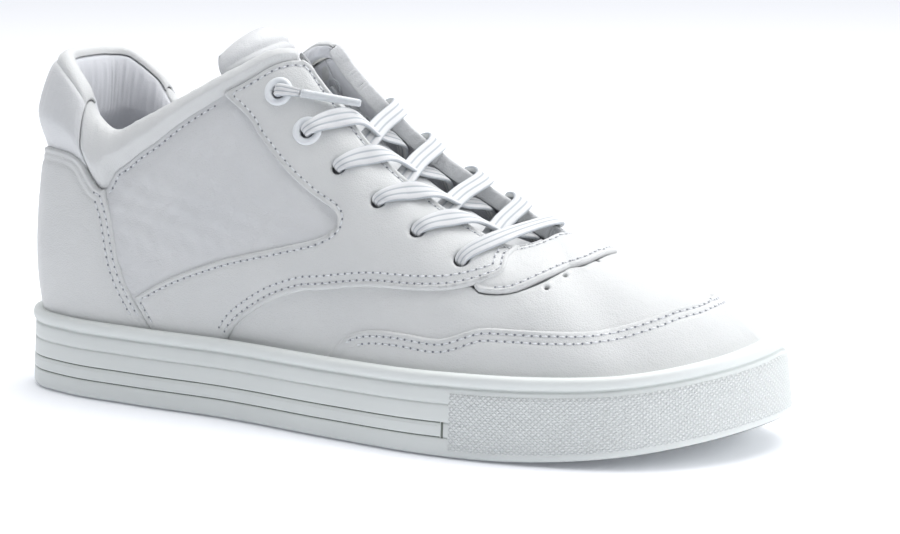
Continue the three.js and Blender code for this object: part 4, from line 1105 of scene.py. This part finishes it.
def tongue_normal(along, across):
    ahead, behind = np.minimum(along + 0.004, 1), np.maximum(along - 0.004, 0)
    run = tongue_point(ahead, across) - tongue_point(behind, across)
    wide = tongue_point(along, across + 0.01) - tongue_point(along, across - 0.01)
    normal = np.cross(wide, run)
    normal /= np.linalg.norm(normal, axis=-1, keepdims=True)
    return normal * np.sign(normal[:, 2:3])


def tongue_skin(name, node, sign, surface):
    made, shaped, across = grid_mesh(150, 56)
    side_to_side = 2 * across - 1
    normal = tongue_normal(shaped, side_to_side)
    thick = tongue_line(shaped)[..., 4]
    round_side = np.sqrt(np.clip(1 - np.abs(side_to_side) ** 5, 0, 1))
    round_top = np.sqrt(np.clip(1 - np.clip((shaped - 0.9) / 0.1, 0, 1) ** 2.6, 0, 1))
    round_root = 0.35 + 0.65 * smoothstep(shaped, 0, 0.15)
    full = thick / 2 * round_side * round_top * round_root
    if sign > 0:
        upper = smoothstep(shaped, 0.86, 0.93)
        full = full * (1 + 0.35 * upper)
        for channel in tongue_channels:
            bend = shaped - channel_bow * side_to_side ** 2
            full = full - 1.5 * np.exp(-((bend - channel) * 170 / 1.6) ** 2) * round_side
        ripple = np.sin(shaped * 90 + 2 * side_to_side) * np.sin(side_to_side * 5 + 1)
        full = full + 0.18 * ripple * round_side
    set_points(made, placed(tongue_point(shaped, side_to_side) - normal * (thick / 2)[:, None]
                            + sign * normal * np.maximum(full, 0.0)[:, None]))
    face_out(made)
    piece = finish_piece(made, name, "tongue", surface)
    wall = piece.modifiers.new("thickness", "SOLIDIFY")
    wall.thickness = 0.8 * mm
    wall.offset = -1.0
    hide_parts(node)


tongue_skin("tongue_front_skin", "tongue_cover", 1.0, soft_hide)
tongue_skin("tongue_back_skin", "tongue_lining", -1.0, lining_hide)
channel_runs = []
for channel in tongue_channels:
    across = np.linspace(-0.9, 0.9, 60)
    along = channel + channel_bow * across ** 2
    normal = tongue_normal(along, across)
    channel_runs.append(list(zip(tongue_point(along, across) - normal * 1.35, normal)))
stitching("thread_tongue_channels", "tongue", channel_runs)

# ---------------------------------------------------------------- eyelet rings
# White moulded plastic rings with a rolled flange, set in the two highest pairs of lace holes.
ring_flange, ring_bore = 5.4, 2.7
ring_plastic = new_material("acetal_moulded_white")
where = add_node(ring_plastic, "ShaderNodeTexCoord").outputs["Object"]
flow = add_node(ring_plastic, "ShaderNodeTexNoise", {"Vector": where}, Scale=500.0)
tint = two_tones(ring_plastic, flow.outputs["Fac"], "#eef1f3", "#e4e8eb")
dress(ring_plastic, tint, Roughness=0.28, IOR=1.48)

flange_low = overlay_out + 0.05
ring_section = [
    (ring_bore, -4.0), (3.0, -4.0), (3.0, flange_low), (ring_flange - 0.1, flange_low),
    (ring_flange, flange_low + 0.25),
    (ring_flange - 0.15, flange_low + 0.6), (ring_flange - 0.6, flange_low + 0.95), (4.4, flange_low + 1.1),
    (3.8, flange_low + 1.05), (3.2, flange_low + 0.85), (2.85, flange_low + 0.5), (ring_bore, flange_low)]


def standing(foot, axis):
    """The matrix that stands a turned piece on a place, along an axis."""
    return Matrix.Translation(foot) @ axis.to_track_quat("Z", "X").to_matrix().to_4x4()


for side in (LATERAL, MEDIAL):
    for number, (q, v) in enumerate(eyelets[:2], 1):
        one = np.array([side])
        centre = Vector(placed(last_point(one, np.array([q]), np.array([v]))[0]))
        axis = Vector(last_normal(one, np.array([q]), np.array([v]))[0])
        made = bmesh.new()
        corners = [made.verts.new((r * mm, 0, z * mm)) for r, z in ring_section]
        edges = [made.edges.new((a, b)) for a, b in zip(corners, corners[1:] + corners[:1])]
        bmesh.ops.spin(made, geom=corners + edges, cent=(0, 0, 0), axis=(0, 0, 1), angle=2 * math.pi,
                       steps=40, use_merge=True)
        bmesh.ops.transform(made, matrix=standing(centre, axis), verts=made.verts)
        face_out(made)
        piece = finish_piece(made, f"ring_{side_name[side]}_{number}", "shoe", ring_plastic)
        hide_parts(f"eyelet_ring_{side_name[side]}_{number}")

# ---------------------------------------------------------------- lace
# One flat white woven lace, about 7 mm wide with three ribs along it. It rises at each hole,
# crosses the tongue and dives under the other edge to come up through the next hole down.
lace_wide, lace_thick, lace_ribs = 7.4, 1.9, 3
under_flap = lining_inside - 1.3
leave_at = (0.583, 0.63, 0.677, 0.713)
dive_at = (0.602, 0.652, 0.688, 0.735)


def at_hole(side, i, out):
    q, v = eyelets[i]
    return off_last(np.array([side]), np.array([q]), np.array([v]), np.array([out]))[0]


def at_edge(side, q, out):
    return off_last(np.array([side]), np.array([q]), np.array([1.0]), np.array([out]))[0]


def hole_top(i):
    return overlay_out + (1.4 if i < 2 else 0)


shares = np.linspace(0, 1, 200)
tongue_height = tongue_line(shares)


def tongue_top(x):
    return np.interp(x, tongue_height[::-1, 0], tongue_height[::-1, 1])


def strand(side, i):
    other, k = 1 - side, i - 1
    leave = at_edge(side, leave_at[k], overlay_out + 2.2)
    dive = at_edge(other, dive_at[k], under_flap - 0.4)
    centre = (leave + dive) / 2
    level = 3.6 if side == MEDIAL else 1.4
    centre[2] = max(tongue_top(centre[0]) + level + 0.6, centre[2] + (1.2 if side == MEDIAL else -1.2))
    narrow, flat = (4.4, 2.9), (lace_wide, lace_thick)
    rise = at_hole(side, i, hole_top(i) + 2.4)
    return [
        (at_hole(side, i, under_flap), narrow), (at_hole(side, i, lining_inside), narrow),
        (at_hole(side, i, hole_top(i)), narrow), (rise * 0.86 + leave * 0.14, (5.2, 2.5)),
        (rise * 0.5 + leave * 0.5 + (0, 0, 0.9), flat), (leave, flat), (centre, flat), (dive, flat)]


def lace_half(start_side):
    narrow = (4.4, 2.9)
    first, second = at_hole(start_side, 0, under_flap - 0.7), at_hole(start_side, 1, under_flap - 0.7)
    points = [(first, narrow), (first * 0.65 + second * 0.35 - (0, 0, 0.6), (6.0, 2.0)),
              (first * 0.3 + second * 0.7 - (0, 0, 0.6), (6.0, 2.0))]
    side = start_side
    for i in range(1, 5):
        points += strand(side, i)
        side = 1 - side
    edge = at_edge(side, 0.75, overlay_out + 2.5)
    rise = at_hole(side, 5, overlay_out + 2.2)
    points += [(at_hole(side, 5, under_flap), narrow), (at_hole(side, 5, lining_inside), narrow),
               (at_hole(side, 5, overlay_out), narrow), (rise * 0.8 + edge * 0.2, (5.2, 2.5)),
               (edge, (lace_wide, lace_thick))]
    return points


def centripetal(points):
    places = np.array([p for p, size in points])
    sizes = np.array([size for p, size in points])
    apart = np.sqrt(np.linalg.norm(np.diff(places, axis=0), axis=1))
    at = np.concatenate([[0], np.cumsum(np.maximum(apart, 0.05))])
    curve = curve_through(np.column_stack([at, places, sizes]))
    drawn = curve(np.linspace(0, at[-1], 6000))
    length = np.concatenate([[0], np.cumsum(np.linalg.norm(np.diff(drawn[:, :3], axis=0), axis=1))])
    return drawn, length


def throat_direction(x):
    q = np.linspace(0.5, 0.77, 60)
    line = topline(q)
    slope = np.gradient(line[:, 2]) / np.gradient(line[:, 0])
    slope = np.interp(x, line[:, 0], slope)
    along = np.stack([np.ones_like(slope), np.zeros_like(slope), slope], -1)
    return along / np.linalg.norm(along, axis=-1, keepdims=True)


def woven_cord(name, body, points, node, wide_along=None, pace=0.9):
    """A flat woven cord swept along its route, with its width lying along the throat's edge."""
    drawn, length = centripetal(points)
    count = int(length[-1] / (pace * 1))
    made, along, around = grid_mesh(count, 44)
    at = along * length[-1]
    row = np.stack([np.interp(at, length, drawn[:, k]) for k in range(5)], -1)
    tangents = np.gradient(drawn[:, :3], axis=0)
    tangent = np.stack([np.interp(at, length, tangents[:, k]) for k in range(3)], -1)
    tangent /= np.linalg.norm(tangent, axis=-1, keepdims=True)
    wide = throat_direction(row[:, 0]) if wide_along is None else np.broadcast_to(wide_along, tangent.shape)
    wide = wide - (wide * tangent).sum(-1, keepdims=True) * tangent
    wide /= np.linalg.norm(wide, axis=-1, keepdims=True)
    thick = np.cross(tangent, wide)
    turn = around * 2 * math.pi
    c, s = np.cos(turn), np.sin(turn)
    x = np.sign(c) * np.abs(c) ** 0.75 * row[:, 3] / 2
    rib = 0.60 + 0.40 * np.abs(np.cos(math.pi * lace_ribs * (x / row[:, 3]))) ** 0.5
    y = np.sign(s) * np.abs(s) ** 0.6 * row[:, 4] / 2 * rib
    set_points(made, placed(row[:, :3] + wide * x[:, None] + thick * y[:, None]))
    layer = made.loops.layers.uv.new("weave_mm")
    for face in made.faces:
        centre = face.calc_center_median()
        for loop in face.loops:
            i = loop.vert.index
            loop[layer].uv = (at[i], x[i] / row[i, 3] * lace_wide)
    bmesh.ops.remove_doubles(made, verts=made.verts, dist=0.01 * mm)
    bmesh.ops.holes_fill(made, edges=[e for e in made.edges if e.is_boundary], sides=0)
    face_out(made)
    piece = finish_piece(made, name, body, lace_cotton)
    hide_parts(node)
    return piece


# Woven polyester-cotton: rows of small V-shaped picks about 0.5 mm apart across each rib. The picks' hollows
# are painted a little darker and the grooves between the ribs are painted grey: painted shade.
lace_cotton = new_material("cotton_woven_white")
flat = add_node(lace_cotton, "ShaderNodeUVMap", uv_map="weave_mm")
apart = add_node(lace_cotton, "ShaderNodeSeparateXYZ", {"Vector": flat.outputs[0]})
vee = add_node(lace_cotton, "ShaderNodeMath", {0: apart.outputs["Y"]}, operation="PINGPONG")
vee.inputs[1].default_value = lace_wide / lace_ribs / 2
slant = add_node(lace_cotton, "ShaderNodeMath", {0: apart.outputs["X"], 1: vee.outputs[0]}, operation="ADD")
picks = add_node(lace_cotton, "ShaderNodeMath", {0: slant.outputs[0]}, operation="PINGPONG")
picks.inputs[1].default_value = 0.24
level = add_node(lace_cotton, "ShaderNodeMapRange", {"Value": picks.outputs[0]},
                 interpolation_type="SMOOTHSTEP")
level.inputs["From Max"].default_value = 0.24
where = add_node(lace_cotton, "ShaderNodeTexCoord").outputs["Object"]
fuzz = add_node(lace_cotton, "ShaderNodeTexNoise", {"Vector": where}, Scale=1800.0, Detail=3.0)
soft = add_node(lace_cotton, "ShaderNodeBump", {"Height": fuzz.outputs["Fac"]}, Strength=0.4, Distance=0.0001)
bump = add_node(lace_cotton, "ShaderNodeBump", {"Height": level.outputs[0], "Normal": soft.outputs[0]},
                Strength=0.8, Distance=0.00018)
# Darker in the picks' hollows: painted shade that follows the bump's height.
tint = two_tones(lace_cotton, level.outputs[0], "#eaecee", "#fafbfb")
# The grooves between the ribs are painted grey: painted shade.
groove = add_node(lace_cotton, "ShaderNodeMapRange", {"Value": vee.outputs[0]},
                  interpolation_type="SMOOTHSTEP")
groove.inputs["From Min"].default_value = lace_wide / lace_ribs / 4
groove.inputs["From Max"].default_value = lace_wide / lace_ribs / 2
tint_with_groove_shade = add_node(lace_cotton, "ShaderNodeMix", {"Factor": groove.outputs[0], 6: tint},
                  data_type="RGBA")
tint_with_groove_shade.inputs[7].default_value = linear("#c2c8ce")
shader = dress(lace_cotton, tint_with_groove_shade.outputs[2], bump.outputs[0], Roughness=0.85)
shader.inputs["Sheen Weight"].default_value = 0.25

woven_cord("lace_woven", "shoe", lace_half(LATERAL) + lace_half(MEDIAL)[::-1], "lace")

# ---------------------------------------------------------------- lace ends
# Each end comes up through the top ring, gathered to a short round stub, and is crimped into a
# clear plastic tip 22 mm long that lies beside the throat.
tail_heading = ((0.74, 0.62, -0.26), (0.72, -0.10, -0.69))
tail_rise, tail_reach, tip_length = 5.2, 9.0, 22.0
clear_tip = new_material("acetate_clear_tip")
where = add_node(clear_tip, "ShaderNodeTexCoord").outputs["Object"]
cloud = add_node(clear_tip, "ShaderNodeTexNoise", {"Vector": where}, Scale=700.0, Detail=2.0)
tint = two_tones(clear_tip, cloud.outputs["Fac"], "#eef1f3", "#dce1e5")
shader = dress(clear_tip, tint, Roughness=0.15, IOR=1.49)
shader.inputs["Transmission Weight"].default_value = 0.35
shader.inputs["Coat Weight"].default_value = 0.4
for side in (LATERAL, MEDIAL):
    q, v = eyelets[0]
    one = np.array([side])
    foot = last_point(one, np.array([q]), np.array([v]))[0]
    normal = last_normal(one, np.array([q]), np.array([v]))[0]
    heading = np.array(tail_heading[side])
    heading /= np.linalg.norm(heading)
    lowered = 1.0 if side == MEDIAL else 0.5
    heading = heading + normal * (0.05 - heading @ normal * lowered)
    heading /= np.linalg.norm(heading)

    def at(rise, run):
        return foot + normal * rise + heading * run

    stub = [(at(lining_inside, 0), (4.2, 2.9)), (at(0, 0), (4.2, 2.9)), (at(overlay_out + 1, 0), (4.3, 3.0)),
            (at(tail_rise - 0.6, 1.2), (4.6, 3.2)), (at(tail_rise, 3.5), (4.4, 3.2)),
            (at(tail_rise, 6), (3.6, 3.0)),
            (at(tail_rise, tail_reach), (2.7, 2.7))]
    woven_cord(f"lace_stub_{side_name[side]}", f"lace_end_{side_name[side]}", stub,
               f"lace_tail_{side_name[side]}", wide_along=np.cross(heading, normal), pace=0.5)
    made = bmesh.new()
    corners = [made.verts.new((r * mm, 0, z * mm)) for r, z in (
        (0.001, 0), (1.45, 0), (1.6, 0.15), (1.6, 3.0), (1.52, 3.3), (1.6, 3.6), (1.58, 9), (1.5, 15),
        (1.4, 20), (1.3, tip_length - 0.5), (1.0, tip_length - 0.05), (0.001, tip_length))]
    edges = [made.edges.new(pair) for pair in zip(corners, corners[1:])]
    bmesh.ops.spin(made, geom=corners + edges, cent=(0, 0, 0), axis=(0, 0, 1), angle=2 * math.pi,
                   steps=24, use_merge=True)
    bmesh.ops.remove_doubles(made, verts=made.verts, dist=0.005 * mm)
    tip_foot = Vector(placed(at(tail_rise, tail_reach + 0.3)))
    bmesh.ops.transform(made, matrix=standing(tip_foot, Vector(heading)), verts=made.verts)
    face_out(made)
    piece = finish_piece(made, f"tip_{side_name[side]}", f"lace_end_{side_name[side]}", clear_tip)
    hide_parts(f"aglet_{side_name[side]}")

# ---------------------------------------------------------------- sockliner
# A removable foam footbed with a brushed knit top, that lies loose on the insole board and
# lifts at the heel.
sockliner_inset, sockliner_thick = 11.8, 4.0
knit = new_material("polyester_knit_offwhite")
where = add_node(knit, "ShaderNodeTexCoord").outputs["Object"]
loops = add_node(knit, "ShaderNodeTexVoronoi", {"Vector": where}, Scale=900.0)
cloud = add_node(knit, "ShaderNodeTexNoise", {"Vector": where}, Scale=60.0)
tint = two_tones(knit, cloud.outputs["Fac"], "#e3e4e6", "#d5d7da")
bump = add_node(knit, "ShaderNodeBump", {"Height": loops.outputs["Distance"]}, Strength=0.6, Distance=0.0002)
shader = dress(knit, tint, bump.outputs[0], Roughness=0.9)
shader.inputs["Sheen Weight"].default_value = 0.3
made = bmesh.new()
for top in (1, 0):
    sheet, along, across = grid_mesh(120, 40)
    lateral = inset_point(LATERAL, along, np.full(len(along), sockliner_inset))
    medial = inset_point(MEDIAL, along, np.full(len(along), sockliner_inset))
    plan = lateral * (1 - across)[:, None] + medial * across[:, None]
    width = np.linalg.norm(medial - lateral, axis=-1)
    edge = np.minimum(np.minimum(across, 1 - across) * width, np.minimum(along, 1 - along) * 330)
    curl = (1 - np.clip(edge / 1.6, 0, 1)) ** 2
    height = foot_height(plan[:, 0]) + 0.3 + (sockliner_thick - 1.8 * curl if top else 1.6 * curl)
    set_points(sheet, placed(np.column_stack([plan, height])))
    mesh = bpy.data.meshes.new("face")
    sheet.to_mesh(mesh)
    sheet.free()
    made.from_mesh(mesh)
    bpy.data.meshes.remove(mesh)
bmesh.ops.remove_doubles(made, verts=made.verts, dist=0.02 * mm)
rims = [e for e in made.edges if e.is_boundary]
bmesh.ops.bridge_loops(made, edges=rims)
face_out(made)
footbed = finish_piece(made, "footbed_knit", "sockliner", knit)
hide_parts("sockliner")

# ---------------------------------------------------------------- hidden foam and board
# What the leather hides: the foam midsole and padding, the fibre insole board, and the stiff
# toe puff and heel stiffener.
foam = new_material("polyurethane_foam_white")
where = add_node(foam, "ShaderNodeTexCoord").outputs["Object"]
cells = add_node(foam, "ShaderNodeTexVoronoi", {"Vector": where}, Scale=1100.0)
# The foam's cell pits are painted darker than the cell rims, following the bump: painted shade.
tint = two_tones(foam, cells.outputs["Distance"], "#d9d9d2", "#e8e8e3")
bump = add_node(foam, "ShaderNodeBump", {"Height": cells.outputs["Distance"]}, Strength=0.5, Distance=0.0003)
dress(foam, tint, bump.outputs[0], Roughness=0.95)
fibre_board = new_material("cellulose_board_tan")
where = add_node(fibre_board, "ShaderNodeTexCoord").outputs["Object"]
fibres = add_node(fibre_board, "ShaderNodeTexNoise", {"Vector": where}, Scale=420.0, Detail=6.0)
tint = two_tones(fibre_board, fibres.outputs["Fac"], "#b89f7c", "#d2bd9c")
dress(fibre_board, tint, Roughness=0.85)
hidden = {"midsole_foam": foam, "collar_foam": foam, "tongue_foam": foam, "insole_board": fibre_board,
          "toe_puff": fibre_board, "heel_stiffener": fibre_board, "eyestay_backing_lateral": cowhide,
          "eyestay_backing_medial": cowhide}
for name, surface in hidden.items():
    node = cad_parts[name]
    node.data.materials.clear()
    node.data.materials.append(surface)
